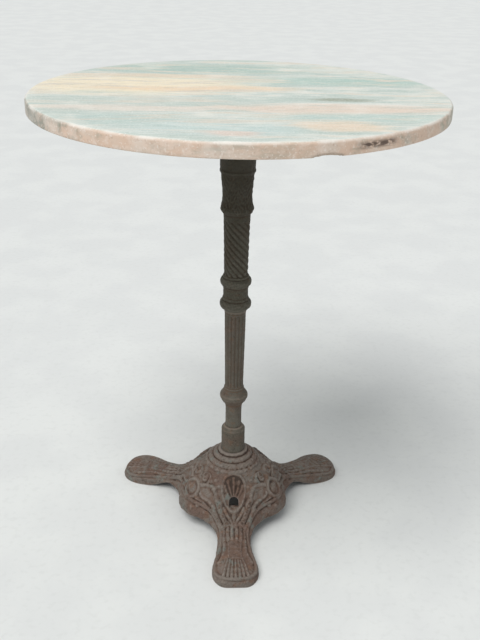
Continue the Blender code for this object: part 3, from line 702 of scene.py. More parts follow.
def carveLeaves(mesh, shape):
    # the ground between the leaves is cut back, so that the leaves keep the outline
    points, normals = readVectors(mesh, "co"), readVectors(mesh, "normal")
    angle = np.arctan2(points[:, 1], points[:, 0]) + math.pi / 2
    radius = np.hypot(points[:, 0], points[:, 1])
    top, tip = shape["leafTop"], shape["leafTip"]
    wrapped = softStep(points[:, 2], top, top - 2 * mm) * softStep(points[:, 2], tip - 3 * mm, tip)
    outer = (radius > shape["socket"] + 8 * mm) * wrapped
    turn = angle * shape["leaves"] / (2 * math.pi)
    surface = np.full(len(points), -1.0)
    # the leaves behind, then those in front
    for shift, end, share in ((0.5, tip + 13 * mm, -0.45), (0.0, tip, 0.0)):
        local = (turn + shift + 0.5) % 1 - 0.5
        down = np.clip((top - points[:, 2]) / (top - end), 0, 1.2)
        lobes = 1 + 0.13 * np.cos(down * 2 * math.pi * 6)
        halfWidth = 0.46 * np.sqrt(np.clip(1 - down ** 3, 0, 1)) * lobes
        across = np.abs(local) / np.maximum(halfWidth, 1e-4)
        stray = roughCast(points, 14, 13 * mm, 0.16)
        barbs = 0.5 + 0.5 * np.cos((points[:, 2] / (11 * mm) + np.abs(local) * 4 + stray) * 2 * math.pi)
        midrib = np.exp(-(local / 0.04) ** 2)
        leaf = share - 0.25 * across ** 2 - barbs * (1 - midrib) * shape["veinDepth"] / shape["recess"]
        surface = np.where(across < 1, np.maximum(leaf, surface), surface)
    writePoints(mesh, points + normals * (surface * shape["recess"] * outer)[:, None])


upperColumn = makeUpperColumn(upperShape)


# lower column: tapered shaft with straight flutes, a lipped ring, and the plain neck

lowerShape = {
    "sides": 240, "flutes": 16, "grooveDepth": 1.4 * mm, "fluteTop": 374 * mm, "fluteBottom": 240 * mm,
    "outer": [
        (10.5, 391.7), (10.5, 391.7), (10.5, 379.7), (10.5, 379.7), (17.9, 379.7), (17.9, 379.7),
        (17.9, 377.4), (17.3, 375.8), (17.1, 374), (16.9, 350), (16.5, 325), (16.1, 300), (15.7, 275),
        (15.4, 250), (15.3, 239), (15.3, 239), (16.4, 238), (16.6, 236.2), (16.6, 235), (16.6, 235),
        (17.4, 233.4), (19.4, 229.8), (21.8, 226.6), (23.0, 224.4), (23.2, 221.6), (22.8, 218.6),
        (21.6, 216.4), (21.6, 216.4), (20.2, 213.4), (17.2, 209.4), (14.8, 206), (13.7, 200), (13.4, 196),
        (13.4, 180), (13.4, 160), (13.4, 140.2), (13.4, 140.2), (7.5, 140.2), (7.5, 140.2),
    ],
    "bore": 7.5 * mm,
}


def makeLowerColumn(shape):
    low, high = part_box("lower_column")
    outline = keepBetween(smoothRun(millimetres(shape["outer"]), 1.1 * mm), low, high)
    outline.append((shape["bore"], high.z))
    weights = weightsBetween(outline, shape["fluteBottom"], shape["fluteTop"], 4 * mm, shape["bore"] + 4 * mm)
    column = turnPiece(
        "lowerColumn", outline, weights, brownIron, shape["sides"], shape["flutes"], shape["grooveDepth"]
    )
    return finishTurned(column, 22, 7 * mm, 0.08 * mm, 13.0 * mm)


lowerColumn = makeLowerColumn(lowerShape)


# collar: a short thick socket with a sloping shoulder, standing in the crown of the base

collarShape = {
    "shoulderIn": 4.6 * mm, "shoulderDrop": 6.0 * mm, "neckGap": 0.2 * mm, "bore": 7.5 * mm, "sides": 160,
}


def makeCollar(shape):
    low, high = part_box("foot_collar")
    radius = (high.x - low.x) / 2
    bore, drop = shape["bore"], shape["shoulderDrop"]
    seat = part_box("lower_column")[0].z - shape["neckGap"]
    neck = lowerShape["outer"][-6][0] * mm + shape["neckGap"]
    shoulder = radius - shape["shoulderIn"]
    control = [
        (neck, high.z), (neck, high.z), (shoulder, high.z), (shoulder + 1 * mm, high.z - 0.6 * mm),
        (radius - 1.2 * mm, high.z - drop + 1.6 * mm), (radius, high.z - drop), (radius, high.z - 2 * drop),
        (radius, low.z), (radius, low.z), (bore, low.z), (bore, low.z), (bore, seat), (bore, seat),
        (neck, seat), (neck, seat), (neck, high.z - 1 * mm),
    ]
    outline = smoothRun(control, 1.2 * mm)
    collar = turnPiece("footCollar", outline, [0.0] * len(outline), brownIron, shape["sides"])
    return finishTurned(collar, 31, 9 * mm, 0.12 * mm, radius - 1.5 * mm)


collar = makeCollar(collarShape)
print("column made")


# base: one skin over dome and legs, thickened to a shell, then carved

castingShape = {
    "legAngles": (-90, 30, 150),
    "legColumns": (-22, -11, 0, 11, 22), "domeColumns": (34, 47, 60, 73, 86),  # degrees from the leg's axis
    "domeRings": ((40, 96), (57, 88), (74.5, 72), (89.5, 50)),  # radius and height in mm
    "domeWaist": (5, 0, 0, 0, 5),
    "domeEdge": ((88, 34.5), (97, 38), (98, 38.5), (97, 38), (88, 34.5)),
    "saddle": 10,
    # distance from the axis, half width, height on the centre line and at the edge
    "legRows": (
        (110, 24.0, 34.0, 24.5), (132, 24.5, 28.2, 19.5), (155, 28.0, 25.0, 16.2), (178, 35.2, 23.0, 14.3),
        (200, 34.0, 21.0, 13.0), (214.5, 21.5, 17.4, 11.8),
    ),
    "flare": 3.0, "rimLift": 23.0, "soleStart": 160.0, "soleEnd": 108.0,
    "wall": 6 * mm, "detail": 4, "innerShare": 0.22,
    "vent": {
        "distance": 81 * mm, "sill": 51.2 * mm, "halfWidth": 8 * mm, "height": 15 * mm, "reach": 24 * mm,
    },
}


def legPoint(degrees, along, across, z):
    return Matrix.Rotation(math.radians(degrees), 3, "Z") @ Vector((along, across, z)) * mm


def skinCage(shape):
    bm = bmesh.new()
    perThird = len(shape["legColumns"]) + len(shape["domeColumns"])
    rings = []
    for index, (radius, height) in enumerate(shape["domeRings"]):
        outwards = (index / (len(shape["domeRings"]) - 1)) ** 2
        ring = []
        for leg in shape["legAngles"]:
            for offset in shape["legColumns"]:
                sink = shape["saddle"] * outwards * (1 - abs(offset) / shape["legColumns"][-1])
                ring.append(bm.verts.new(legPoint(leg + offset, radius, 0, height - sink)))
            for offset, waist in zip(shape["domeColumns"], shape["domeWaist"]):
                ring.append(bm.verts.new(legPoint(leg + offset, radius - waist * outwards, 0, height)))
        rings.append(ring)
    count = len(rings[0])
    for ring, outer in zip(rings, rings[1:]):
        for i in range(count):
            j = (i + 1) % count
            bm.faces.new((ring[i], outer[i], outer[j], ring[j]))
    legs, shoulders, edge = [], [], []
    for leg in shape["legAngles"]:
        rows = []
        for along, half, middle, side in shape["legRows"]:
            row = []
            for share in (-1, -0.55, 0, 0.55, 1):
                z = side + (middle - side) * (1 - share * share)
                row.append(bm.verts.new(legPoint(leg, along, half * share, z)))
            rows.append(row)
        legs.append(rows)
        shoulders.append([
            bm.verts.new(legPoint(leg + offset, radius, 0, height))
            for offset, (radius, height) in zip(shape["domeColumns"], shape["domeEdge"])
        ])
    for third in range(3):
        start = third * perThird
        rows = [rings[-1][start:start + 5]] + legs[third]
        for row, after in zip(rows, rows[1:]):
            for i in range(4):
                bm.faces.new((row[i], after[i], after[i + 1], row[i + 1]))
        inner = [rings[-1][(start + 4 + i) % count] for i in range(len(shape["domeColumns"]) + 2)]
        outer = [legs[third][0][4]] + shoulders[third] + [legs[(third + 1) % 3][0][0]]
        for i in range(len(inner) - 1):
            bm.faces.new((inner[i], outer[i], outer[i + 1], inner[i + 1]))
        rows = legs[third]
        edge += [row[0] for row in rows] + rows[-1][1:4] + [row[4] for row in reversed(rows)]
        edge += shoulders[third]
    # the upright edge: a rounded step outwards, then down to the sole
    upper, lower = [], []
    for i, vert in enumerate(edge):
        run = edge[(i + 1) % len(edge)].co - edge[i - 1].co
        spot = vert.co + Vector((run.y, -run.x, 0)).normalized() * shape["flare"] * mm
        away = (shape["soleStart"] * mm - spot.xy.length) / ((shape["soleStart"] - shape["soleEnd"]) * mm)
        share = min(1.0, max(0.0, away))
        sole = shape["rimLift"] * mm * share * share * (3 - 2 * share)
        upper.append(bm.verts.new((spot.x, spot.y, sole + (vert.co.z - sole) * 0.45)))
        lower.append(bm.verts.new((spot.x, spot.y, sole)))
    for row, after in ((edge, upper), (upper, lower)):
        for i in range(len(edge)):
            j = (i + 1) % len(edge)
            bm.faces.new((row[i], after[i], after[j], row[j]))
    mesh = bpy.data.meshes.new("baseCasting")
    bm.to_mesh(mesh)
    bm.free()
    made = putInScene("baseCasting", mesh)
    return made


# the ornament, in the front leg's own plan: (across, along) in mm, for one half that is then mirrored
# each line of points is followed by its half width at the start and the end, and its height

def spiral(across, along, start, turns, size, count=22):
    points = []
    for i in range(count + 1):
        t = i / count
        angle = math.radians(start) - 2 * math.pi * turns * t
        reach = size * (0.22 + 0.78 * t)
        points.append((across + reach * math.cos(angle), along + reach * math.sin(angle)))
    return points


ornament = {
    "ribs": [
        ([(10, 85), (15, 79), (19, 70), (18.5, 59), (13, 50), (0, 46.5)], 2.4, 3.0, 2.0),  # niche's frame
        ([(0, 73), (0, 64), (0, 53)], 1.6, 3.4, 1.5),  # palmette in the niche
        ([(3.6, 73), (7.0, 65), (9.4, 57)], 1.5, 3.2, 1.4),
        ([(6.6, 75), (12.2, 69), (15, 62)], 1.4, 2.8, 1.3),
        ([(0, 88.5), (5, 88), (10.5, 84)], 3.2, 2.4, 2.4),  # sill under the vent
        # scroll
        (spiral(46, 42, 100, 1.2, 10.5) + [(36, 58), (31, 67), (27.5, 76), (24, 86)], 2.4, 4.0, 2.7),
        ([(58, 54), (54, 61), (47, 67), (40, 73), (33, 82)], 2.8, 3.8, 2.3),  # leaf behind the scroll
        ([(66, 56), (58, 63), (50, 69), (41, 79)], 2.0, 2.4, 1.5),
        ([(17, 85), (12, 92), (6, 100), (1.6, 108)], 3.2, 2.6, 2.5),  # tulip
        ([(0, 92), (0, 99), (0, 107)], 4.2, 2.0, 2.0),
        ([(25, 80), (21.5, 89), (17, 98), (12.5, 106)], 5.6, 4.2, 3.6),  # knuckled leaves
        ([(35, 83), (29.5, 92), (24.5, 101), (20, 109)], 4.8, 3.6, 3.0),
        ([(0, 111), (6, 108), (12, 108), (17, 111.5), (20, 117)], 2.8, 2.4, 2.2),  # band across the leg
        ([(3.6, 113), (4.2, 122), (3.4, 133)], 3.0, 3.6, 2.4),  # three leaves on each side of the leg
        ([(10.4, 112), (11.2, 122), (9.8, 135)], 3.0, 3.7, 2.2),
        ([(16.8, 116), (17.6, 130), (17, 149)], 2.7, 3.4, 1.9),
        ([(10.4, 140), (9.6, 155), (10.6, 174)], 2.0, 2.0, 1.3),  # strap
        ([(0, 151), (9.5, 150.4)], 1.7, 1.6, 0.9),
        ([(0, 158.5), (9.5, 158)], 1.7, 1.6, 0.9),
        ([(0, 174.5), (7, 174.2), (12, 175.5)], 2.2, 1.9, 1.3),
        ([(17.5, 152), (19.5, 164), (26, 180)], 2.2, 4.2, 1.8),  # long leaf towards the foot
    ],
    # fluted shell on the foot: ribs nearly side by side, spreading to the rim
    "shell": {
        "origin": 128, "angles": (0, 4.6, 9.2, 13.8), "start": 50, "end": 84.5,
        "halfWidth": (1.8, 3.3), "height": 2.0,
    },
    # across, along, radius and height of the curled tips
    "knuckles": [
        (45.5, 38, 7.5, 3.6), (12.5, 106, 6.4, 3.6), (20, 109.5, 5.4, 3.2), (33, 62, 5.4, 2.6),
        (27, 77, 5.8, 3.0), (59, 53, 5.4, 2.6), (38, 50, 5.0, 2.2), (3.6, 134, 3.8, 2.4),
        (10, 136, 3.8, 2.2), (17, 150, 3.8, 2.2), (30, 52, 4.6, 1.8), (24, 62, 4.2, 1.6),
        (72, 62, 5.0, 1.8), (61, 66, 4.6, 1.8), (50, 76, 4.6, 1.6),
    ],
    "medallion": {
        "across": 70, "along": 40.4, "ring": 15.5, "ringHalfWidth": 3.6, "height": 2.2, "petals": 8,
    },
    "niche": {"along": 62, "halfWidth": 17, "halfLength": 15, "depth": 1.8},
    "moat": {"width": 1.6, "depth": 0.35},
    "lobe": {"pitch": 8.5, "share": 0.30},
    "border": [(79.5, 46), (67, 60), (51, 70.5), (38.5, 82), (28.5, 97), (22.5, 112), (22, 132)],
    "footEdge": [
        (22, 132), (25.2, 152), (30.2, 172), (32.8, 186), (31.4, 198), (23.5, 208), (12, 213), (0, 214.3),
    ],
}


def intoLegPlan(points):  # turns every point into the front leg's frame, and folds it to one half
    angle = np.arctan2(points[:, 1], points[:, 0]) + math.pi / 2
    local = angle - np.round(angle / (2 * math.pi / 3)) * (2 * math.pi / 3)
    radius = np.hypot(points[:, 0], points[:, 1])
    return np.stack((np.abs(radius * np.sin(local)), radius * np.cos(local), points[:, 2]), 1)


def ontoSkin(tree, across, along):  # drops a plan point onto the skin, in folded coordinates
    hit = tree.ray_cast(Vector((across * mm, -along * mm, 0.3)), Vector((0, 0, -1)))[0]
    height = hit.z if hit else 0.02
    return np.array((across * mm, along * mm, height))


def riseAlong(folded, route, startHalf, endHalf, height, moat):
    # a round-backed rib along the route, with a narrow moat beside it; returns what stands up and what is cut
    lobe = ornament["lobe"]
    up, cut = np.zeros(len(folded)), np.zeros(len(folded))
    lengths = [np.linalg.norm(b - a) for a, b in zip(route, route[1:])]
    total, passed = max(sum(lengths), 1e-9), 0.0
    widest = max(startHalf, endHalf) + 3 * moat["width"] * mm
    for a, b, length in zip(route, route[1:], lengths):
        low, high = np.minimum(a, b) - widest, np.maximum(a, b) + widest
        near = np.nonzero(((folded > low) & (folded < high)).all(1))[0]
        if len(near) and length > 0:
            offset = folded[near] - a
            share = np.clip(offset @ (b - a) / length ** 2, 0, 1)
            distance = np.linalg.norm(offset - share[:, None] * (b - a), axis=1)
            run = passed + share * length
            half = startHalf + (endHalf - startHalf) * run / total
            swell = 1 - lobe["share"] * np.cos(run / (lobe["pitch"] * mm) * math.pi) ** 2
            up[near] = np.maximum(up[near], height * swell * np.clip(1 - (distance / half) ** 2, 0, 1))
            beside = (distance - half - moat["width"] * mm) / (moat["width"] * mm)
            cut[near] = np.maximum(cut[near], moat["depth"] * mm * np.exp(-beside ** 2))
        passed += length
    return up, cut


def nicheReach(folded):  # 0 in the middle of the niche over the vent, 1 at its rim
    niche = ornament["niche"]
    along = folded[:, 1] - niche["along"] * mm
    return np.hypot(folded[:, 0] / niche["halfWidth"], along / niche["halfLength"]) / mm


def carveOrnament(points, skin):
    folded = intoLegPlan(points)
    moat = ornament["moat"]
    up, cut = np.zeros(len(points)), np.zeros(len(points))
    lines = list(ornament["ribs"])
    shell = ornament["shell"]
    for degrees in shell["angles"]:
        turn = math.radians(degrees)
        length = shell["end"] - shell["start"] * (1 + (degrees / 60) ** 2)
        reach = [shell["start"] + length * i / 8 for i in range(9)]
        line = [(d * math.sin(turn), shell["origin"] + d * math.cos(turn)) for d in reach]
        lines.append((line, *shell["halfWidth"], shell["height"]))
    for line, startHalf, endHalf, rise in lines:
        route = [ontoSkin(skin, *p) for p in smoothRun(line, 1.5)]
        ribUp, ribCut = riseAlong(folded, route, startHalf * mm, endHalf * mm, rise * mm, moat)
        up, cut = np.maximum(up, ribUp), np.maximum(cut, ribCut)
    for across, along, radius, rise in ornament["knuckles"]:
        distance = np.linalg.norm(folded - ontoSkin(skin, across, along), axis=1) / (radius * mm)
        up = np.maximum(up, rise * mm * np.clip(1 - distance ** 2, 0, 1))
        cut = np.maximum(cut, moat["depth"] * mm * np.exp(-((distance - 1.15) / 0.2) ** 2))
    # medallion: a raised ring round a boss of petals, half way between two legs
    disc = ornament["medallion"]
    offset = folded - ontoSkin(skin, disc["across"], disc["along"])
    distance = np.linalg.norm(offset, axis=1) / mm
    ring = np.clip(1 - ((distance - disc["ring"]) / disc["ringHalfWidth"]) ** 2, 0, 1)
    side = np.array((math.cos(math.pi / 3), -math.sin(math.pi / 3), 0))
    petalAngle = np.arctan2(offset[:, 2] * 1.3, offset @ side)
    petals = 0.35 + 0.65 * np.abs(np.cos(petalAngle * disc["petals"] / 2))
    boss = 0.9 * petals * softStep(distance, 10.0, 5.0)
    eye = 1.2 * np.clip(1 - (distance / 3.6) ** 2, 0, 1) ** 0.6
    inside = distance < disc["ring"] + 4
    disced = np.maximum(np.maximum(ring, boss), eye) * disc["height"] * mm
    up = np.where(inside, disced, up)
    cut = np.where(inside, 0.6 * mm * softStep(distance, disc["ring"] + 3.6, disc["ring"]), cut)
    cut += ornament["niche"]["depth"] * mm * softStep(nicheReach(folded), 1.1, 0.75)
    route = [ontoSkin(skin, *p) for p in smoothRun(ornament["border"] + ornament["footEdge"][1:], 2.0)]
    edgeUp, edgeCut = riseAlong(folded, route, 3.0 * mm, 3.0 * mm, 1.6 * mm, {"width": 1.6, "depth": 0.7})
    return np.maximum(up - cut * (up < 0.3 * mm), edgeUp) - edgeCut * (edgeUp <= 0) * (up < 0.6 * mm)


def makeBaseCasting(shape):
    casting = skinCage(shape)
    casting.data.materials.append(rustedIron)
    smooth = casting.modifiers.new("smooth", "SUBSURF")
    smooth.levels = smooth.render_levels = shape["detail"]
    bakeModifiers(casting)
    points, normals = readVectors(casting.data, "co"), readVectors(casting.data, "normal")
    faces = [tuple(p.vertices) for p in casting.data.polygons]
    skin = shape["skin"] = BVHTree.FromPolygons([tuple(p) for p in points], faces)
    # the shell's inner face: the skin moved inwards, level at the rim
    uses = {}
    for face in faces:
        for a, b in zip(face, face[1:] + face[:1]):
            uses.setdefault((min(a, b), max(a, b)), []).append((a, b))
    border = [pairs[0] for pairs in uses.values() if len(pairs) == 1]
    onBorder = np.zeros(len(points), bool)
    onBorder[[i for pair in border for i in pair]] = True
    inward = normals.copy()
    inward[onBorder, 2] = 0
    inward /= np.maximum(np.linalg.norm(inward, axis=1), 1e-6)[:, None]
    inner = points - inward * shape["wall"]
    inner[:, 2] = np.maximum(inner[:, 2], np.where(onBorder, points[:, 2], 0.0))
    height = carveOrnament(points, skin)
    height *= softStep(points[:, 2], 3 * mm, 8 * mm)  # the upright edge stays plain at the sole
    rough = roughCast(points, 41, 6 * mm, 0.18 * mm) + roughCast(points, 42, 15 * mm, 0.45 * mm)
    lifted = points + normals * (height + rough * softStep(points[:, 2], 0, 6 * mm))[:, None]
    lifted[:, 2] = np.maximum(lifted[:, 2], 0)
    count = len(points)
    faces += [tuple(count + i for i in reversed(face)) for face in faces]
    faces += [(b, a, count + a, count + b) for a, b in border]
    casting.data = bpy.data.meshes.new("baseCasting")
    casting.data.from_pydata(np.concatenate((lifted, inner)).tolist(), [], faces)
    casting.data.materials.append(rustedIron)
    # the inner face needs no fine mesh
    hidden = casting.vertex_groups.new(name="inside")
    hidden.add([count + i for i in range(count) if not onBorder[i]], 1.0, "REPLACE")
    thin = casting.modifiers.new("thin", "DECIMATE")
    thin.ratio = 0.5 + shape["innerShare"] / 2
    thin.vertex_group = hidden.name
    cutVents(casting, shape["vent"], shape["legAngles"])
    bakeModifiers(casting)
    casting.data.shade_smooth()
    casting.data.set_sharp_from_angle(angle=math.radians(70))
    # the niches and the inside of the shell are darkened: painted shade together with dirt
    points = readVectors(casting.data, "co")
    inside = np.array([skin.find_nearest(p)[3] > shape["wall"] / 2 for p in points])
    inNiche = softStep(nicheReach(intoLegPlan(points)), 1.05, 0.85)
    markRelief(casting.data, 22, 3.0 * mm, np.maximum(0.5 * inside, 0.28 * inNiche))
    return casting


def cutVents(casting, vent, legAngles):
    outline = [(-vent["halfWidth"], 0), (vent["halfWidth"], 0)]
    rise = vent["halfWidth"] * 0.8
    for i in range(17):
        turn = math.pi * i / 16
        outline.append((vent["halfWidth"] * math.cos(turn), vent["height"] - rise + rise * math.sin(turn)))
    points, faces = [], []
    for degrees in legAngles:
        start = len(points)
        for along in (vent["distance"] - vent["reach"], vent["distance"] + vent["reach"]):
            points += [legPoint(degrees, along / mm, y / mm, (vent["sill"] + z) / mm) for y, z in outline]
        size = len(outline)
        faces.append(tuple(start + i for i in reversed(range(size))))
        faces.append(tuple(start + size + i for i in range(size)))
        for i in range(size):
            j = (i + 1) % size
            faces.append((start + i, start + j, start + size + j, start + size + i))
    cutter = meshObject("ventCutter", points, faces, rustedIron, smooth=False)
    cut = casting.modifiers.new("vents", "BOOLEAN")
    cut.object = cutter
    cut.solver = "EXACT"
    bakeModifiers(casting)
    bpy.data.objects.remove(cutter)


baseCasting = makeBaseCasting(castingShape)
print("base casting made:", len(baseCasting.data.polygons), "faces")


# crown: the stepped rings between the collar and the dome, and the boss that takes the rod

crownShape = {
    "sides": 200,
    "outer": [
        (20.1, 117), (20.1, 117), (22.6, 117.2), (24.4, 116.0), (25.0, 114.2), (25.2, 112.9),
        (26.0, 112.2), (28.8, 111.7), (31.4, 110.1), (33.0, 107.6), (33.6, 105.9), (34.6, 105.3),
        (37.6, 104.6), (40.2, 102.6), (41.6, 99.9), (42.2, 98.5), (43.2, 98.0), (45.4, 96.7),
        (46.8, 94.4), (47.0, 92.0), (47.0, 92.0), (41, 87), (41, 87), (20, 86), (20, 86), (20, 82),
        (20, 82), (5.6, 82), (5.6, 82), (5.6, 112.5), (5.6, 112.5), (20.1, 112.5), (20.1, 112.5),
    ],
}


def makeCrown(shape):
    outline = smoothRun(millimetres(shape["outer"]), 0.9 * mm)
    crown = turnPiece("baseCrown", outline, [0.0] * len(outline), rustedIron, shape["sides"])
    return finishTurned(crown, 51, 7 * mm, 0.24 * mm, 21 * mm)


baseCrown = makeCrown(crownShape)


# rolled edge round the base: one tree sweeps it along the border, a little uneven as sand-cast rolls are

rollShape = {"halfWidth": 2.5 * mm, "pitch": 31 * mm, "swell": 0.06, "step": 1.6 * mm, "sink": 0.2 * mm}


def makeRollTree():
    tree, given = newTree("rolledEdge", [
        ("Half Width", "Float"), ("Pitch", "Float"), ("Swell", "Float"), ("Step", "Float"),
        ("Material", "Material"),
    ])
    route = addNode(tree, "GeometryNodeMeshToCurve", {0: given["Geometry"]})
    even = addNode(tree, "GeometryNodeResampleCurve", {0: route, "Length": given["Step"]}, mode="LENGTH")
    values = {"passed": addNode(tree, "GeometryNodeSplineParameter", out="Length")}
    values.update((name, given[name]) for name in ("Pitch", "Swell"))
    addSums(tree, values, (
        ("count", "DIVIDE", "passed", "Pitch"),
        ("beats", "MULTIPLY", "count", 2 * math.pi),
        ("wave", "SINE", "beats", 0.0),
        ("swelling", "MULTIPLY", "wave", "Swell"),
        ("scale", "ADD", "swelling", 1.0),
    ))
    links = {"Resolution": 12, "Radius": given["Half Width"]}
    ring = addNode(tree, "GeometryNodeCurvePrimitiveCircle", links)
    links = {"Curve": even, "Profile Curve": ring, "Scale": values["scale"]}
    swept = addNode(tree, "GeometryNodeCurveToMesh", links)
    return endTree(tree, swept, given["Material"])


def makeEdgeRoll(shape):
    half = smoothRun(ornament["border"] + ornament["footEdge"][1:], 2.0)
    route = []
    for degrees in castingShape["legAngles"]:
        turn = Matrix.Rotation(math.radians(degrees + 90), 3, "Z")
        oneLeg = [(-x, y) for x, y in half] + [(x, y) for x, y in reversed(half[:-1])]
        for across, along in oneLeg:
            spot = ontoSkin(castingShape["skin"], abs(across), along)
            turned = turn @ Vector((across * mm, -along * mm, spot[2] - shape["sink"]))
            if not route or (turned - route[-1]).length > 0.5 * mm:
                route.append(turned)
    mesh = bpy.data.meshes.new("edgeRoll")
    mesh.from_pydata(route, [(i, (i + 1) % len(route)) for i in range(len(route))], [])
    roll = putInScene("edgeRoll", mesh)
    growFrom(roll, makeRollTree(), {
        "Half Width": shape["halfWidth"], "Pitch": shape["pitch"], "Swell": shape["swell"],
        "Step": shape["step"], "Material": rustedIron,
    })
    roll.data.shade_smooth()
    # the whole roll takes part of the pale crest colour: wear together with a painted highlight
    storeShare(roll.data, "relief", np.full(len(roll.data.vertices), 0.68))
    return roll


edgeRoll = makeEdgeRoll(rollShape)
print("crown and rolled edge made")


# fixings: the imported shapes, with their edges broken

def breakEdges(made, width):
    bevel = made.modifiers.new("ease", "BEVEL")
    bevel.width = width
    bevel.segments = 2
    bevel.limit_method = "ANGLE"
    bevel.angle_limit = math.radians(40)
    bakeModifiers(made)
    made.data.shade_smooth()
    made.data.set_sharp_from_angle(angle=math.radians(35))
    return made


def easeEdges(name, node, width, material):
    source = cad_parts[node]
    made = putInScene(name, source.data.copy())
    made.data.materials.clear()
    made.data.materials.append(material)
    bm = bmesh.new()
    bm.from_mesh(made.data)
    bmesh.ops.remove_doubles(bm, verts=bm.verts, dist=0.01 * mm)
    bmesh.ops.dissolve_limit(bm, angle_limit=math.radians(1), verts=bm.verts, edges=bm.edges)
    bm.to_mesh(made.data)
    bm.free()
    return breakEdges(made, width)


spider = easeEdges("topSpider", "top_spider", 0.9 * mm, darkIron)
storeShare(spider.data, "relief", np.full(len(spider.data.vertices), 0.5))


# four hexagon screws and their washers: one tree sets them round a circle

screwShape = {"count": 4, "flats": 10 * mm, "headHeight": 4 * mm, "shank": 3 * mm, "washer": 8 * mm}


def makeScrewTree():
    tree, given = newTree("screwsOnACircle", [
        ("Count", "Int"), ("Circle Radius", "Float"),
        ("Head Radius", "Float"), ("Head Height", "Float"), ("Head Middle", "Float"),
        ("Washer Radius", "Float"), ("Washer Height", "Float"), ("Washer Middle", "Float"),
        ("Shank Radius", "Float"), ("Shank Length", "Float"), ("Shank Middle", "Float"),
        ("Material", "Material"),
    ])
    links = {"Vertices": given["Count"], "Radius": given["Circle Radius"]}
    points = addNode(tree, "GeometryNodeMeshCircle", links)
    turned = addNode(tree, "GeometryNodeTransform", {0: points, "Rotation": (0, 0, math.pi / 4)})
    parts = addNode(tree, "GeometryNodeJoinGeometry", out=None)
    for label, corners in (("Head", 6), ("Washer", 40), ("Shank", 20)):
        long = given["Shank Length"] if label == "Shank" else given[label + " Height"]
        links = {"Vertices": corners, "Radius": given[label + " Radius"], "Depth": long}
        drum = addNode(tree, "GeometryNodeMeshCylinder", links)
        offset = addNode(tree, "ShaderNodeCombineXYZ", {2: given[label + " Middle"]})
        moved = addNode(tree, "GeometryNodeTransform", {0: drum, "Translation": offset})
        tree.links.new(moved, parts.inputs[0])
    screws = addNode(tree, "GeometryNodeInstanceOnPoints", {"Points": turned, "Instance": parts.outputs[0]})
    return endTree(tree, screws, given["Material"])


def makeScrews(shape):
    low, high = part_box("top_screw_1")
    washerLow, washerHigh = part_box("screw_washer_1")
    middle = (low + high) / 2
    screws = putInScene("topScrews", bpy.data.meshes.new("topScrews"))
    shankBottom = low.z + shape["headHeight"] / 2
    growFrom(screws, makeScrewTree(), {
        "Count": shape["count"], "Circle Radius": middle.xy.length,
        "Head Radius": shape["flats"] / math.sqrt(3), "Head Height": shape["headHeight"],
        "Head Middle": low.z + shape["headHeight"] / 2,
        "Washer Radius": shape["washer"], "Washer Height": washerHigh.z - washerLow.z,
        "Washer Middle": (washerLow.z + washerHigh.z) / 2,
        "Shank Radius": shape["shank"], "Shank Length": high.z - shankBottom,
        "Shank Middle": (high.z + shankBottom) / 2, "Material": zincSteel,
    })
    return breakEdges(screws, 0.45 * mm)


topScrews = makeScrews(screwShape)
baseNut = easeEdges("baseNut", "base_nut", 0.3 * mm, zincSteel)
plateWasher = easeEdges("plateWasher", "plate_washer", 0.4 * mm, zincSteel)
print("fixings made")


# every piece rides on the one body and stands for its nodes

standsFor = [
    (slab, "marble", ["marble_top"]),
    (upperColumn, "iron", ["upper_column"]),
    (lowerColumn, "iron", ["lower_column"]),
    (collar, "iron", ["foot_collar"]),
    (baseCasting, "iron", ["base_casting"]),
    (baseCrown, "iron", ["base_casting"]),
    (edgeRoll, "iron", ["base_casting"]),
    (spider, "iron", ["top_spider"]),
    (topScrews, "steel", [f"{part}_{n}" for part in ("top_screw", "screw_washer") for n in range(1, 5)]),
    (baseNut, "steel", ["base_nut"]),
    (plateWasher, "steel", ["plate_washer"]),
]
for piece, slotName, nodes in standsFor:
    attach(piece, "root")
    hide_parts(*nodes)

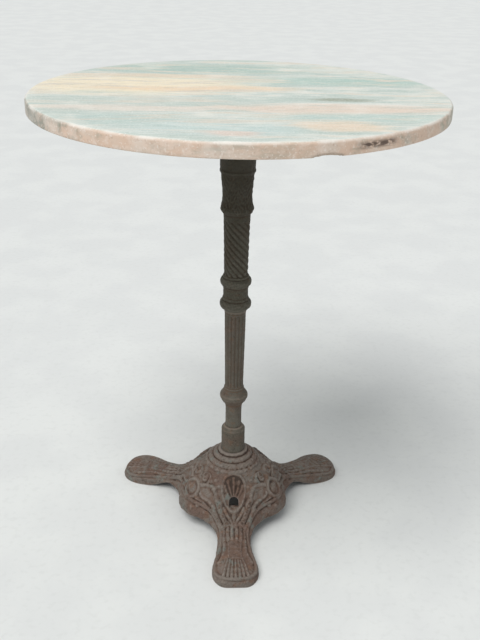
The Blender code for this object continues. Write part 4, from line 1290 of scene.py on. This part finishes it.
keptNodes = {
    "tie_rod": zincSteel, "top_nut": zincSteel, "top_washer": zincSteel, "lock_washer": zincSteel,
    **{f"threaded_insert_{n}": brass for n in range(1, 5)},
    **{f"rubber_pad_{n}": rubber for n in range(1, 5)},
}
for node, material in keptNodes.items():
    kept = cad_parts[node]
    kept.data.materials.clear()
    kept.data.materials.append(material)


# pale floor, soft daylight from the upper left, and the camera

stageLook = {
    "floorRadius": 16.0,
    "sky": "#f1f5f8", "skyStrength": 0.50,
    "sunStrength": 2.2, "sunSpread": 42, "sunFrom": (-0.75, -0.85, 2.0),
    "lens": 48.4, "distance": 1.252, "height": 0.9505, "sideStep": 7.8 * mm,
    "pitch": 25.27, "roll": 1.2, "azimuth": -2.7,
}


def makeStage(look):
    bm = bmesh.new()
    bmesh.ops.create_circle(bm, cap_ends=True, segments=96, radius=look["floorRadius"])
    mesh = bpy.data.meshes.new("floor")
    bm.to_mesh(mesh)
    bm.free()
    mesh.materials.append(makeScreed())
    floor = bpy.data.objects.new("floor", mesh)
    floor.location.z = cadBounds[0][2]
    scene.collection.objects.link(floor)
    world = bpy.data.worlds.new("overcast")
    world.use_nodes = True
    sky = world.node_tree.nodes["Background"]
    sky.inputs["Color"].default_value = hexColour(look["sky"])
    sky.inputs["Strength"].default_value = look["skyStrength"]
    scene.world = world
    scene.view_settings.view_transform = "Standard"  # colours come out as they are mixed
    data = bpy.data.lights.new("softSun", "SUN")
    data.energy = look["sunStrength"]
    data.angle = math.radians(look["sunSpread"])
    sun = bpy.data.objects.new("softSun", data)
    sun.rotation_euler = (-Vector(look["sunFrom"])).to_track_quat("-Z", "Y").to_euler()
    scene.collection.objects.link(sun)
    camera = bpy.data.objects.new("camera", bpy.data.cameras.new("camera"))
    camera.data.lens = look["lens"]
    camera.data.clip_start = 0.05
    scene.collection.objects.link(camera)
    camera.matrix_world = (
        Matrix.Rotation(math.radians(look["azimuth"]), 4, "Z")
        @ Matrix.Translation((look["sideStep"], -look["distance"], look["height"]))
        @ Matrix.Rotation(math.radians(90 - look["pitch"]), 4, "X")
        @ Matrix.Rotation(math.radians(look["roll"]), 4, "Z")
    )
    scene.camera = camera


makeStage(stageLook)
print("stage set")
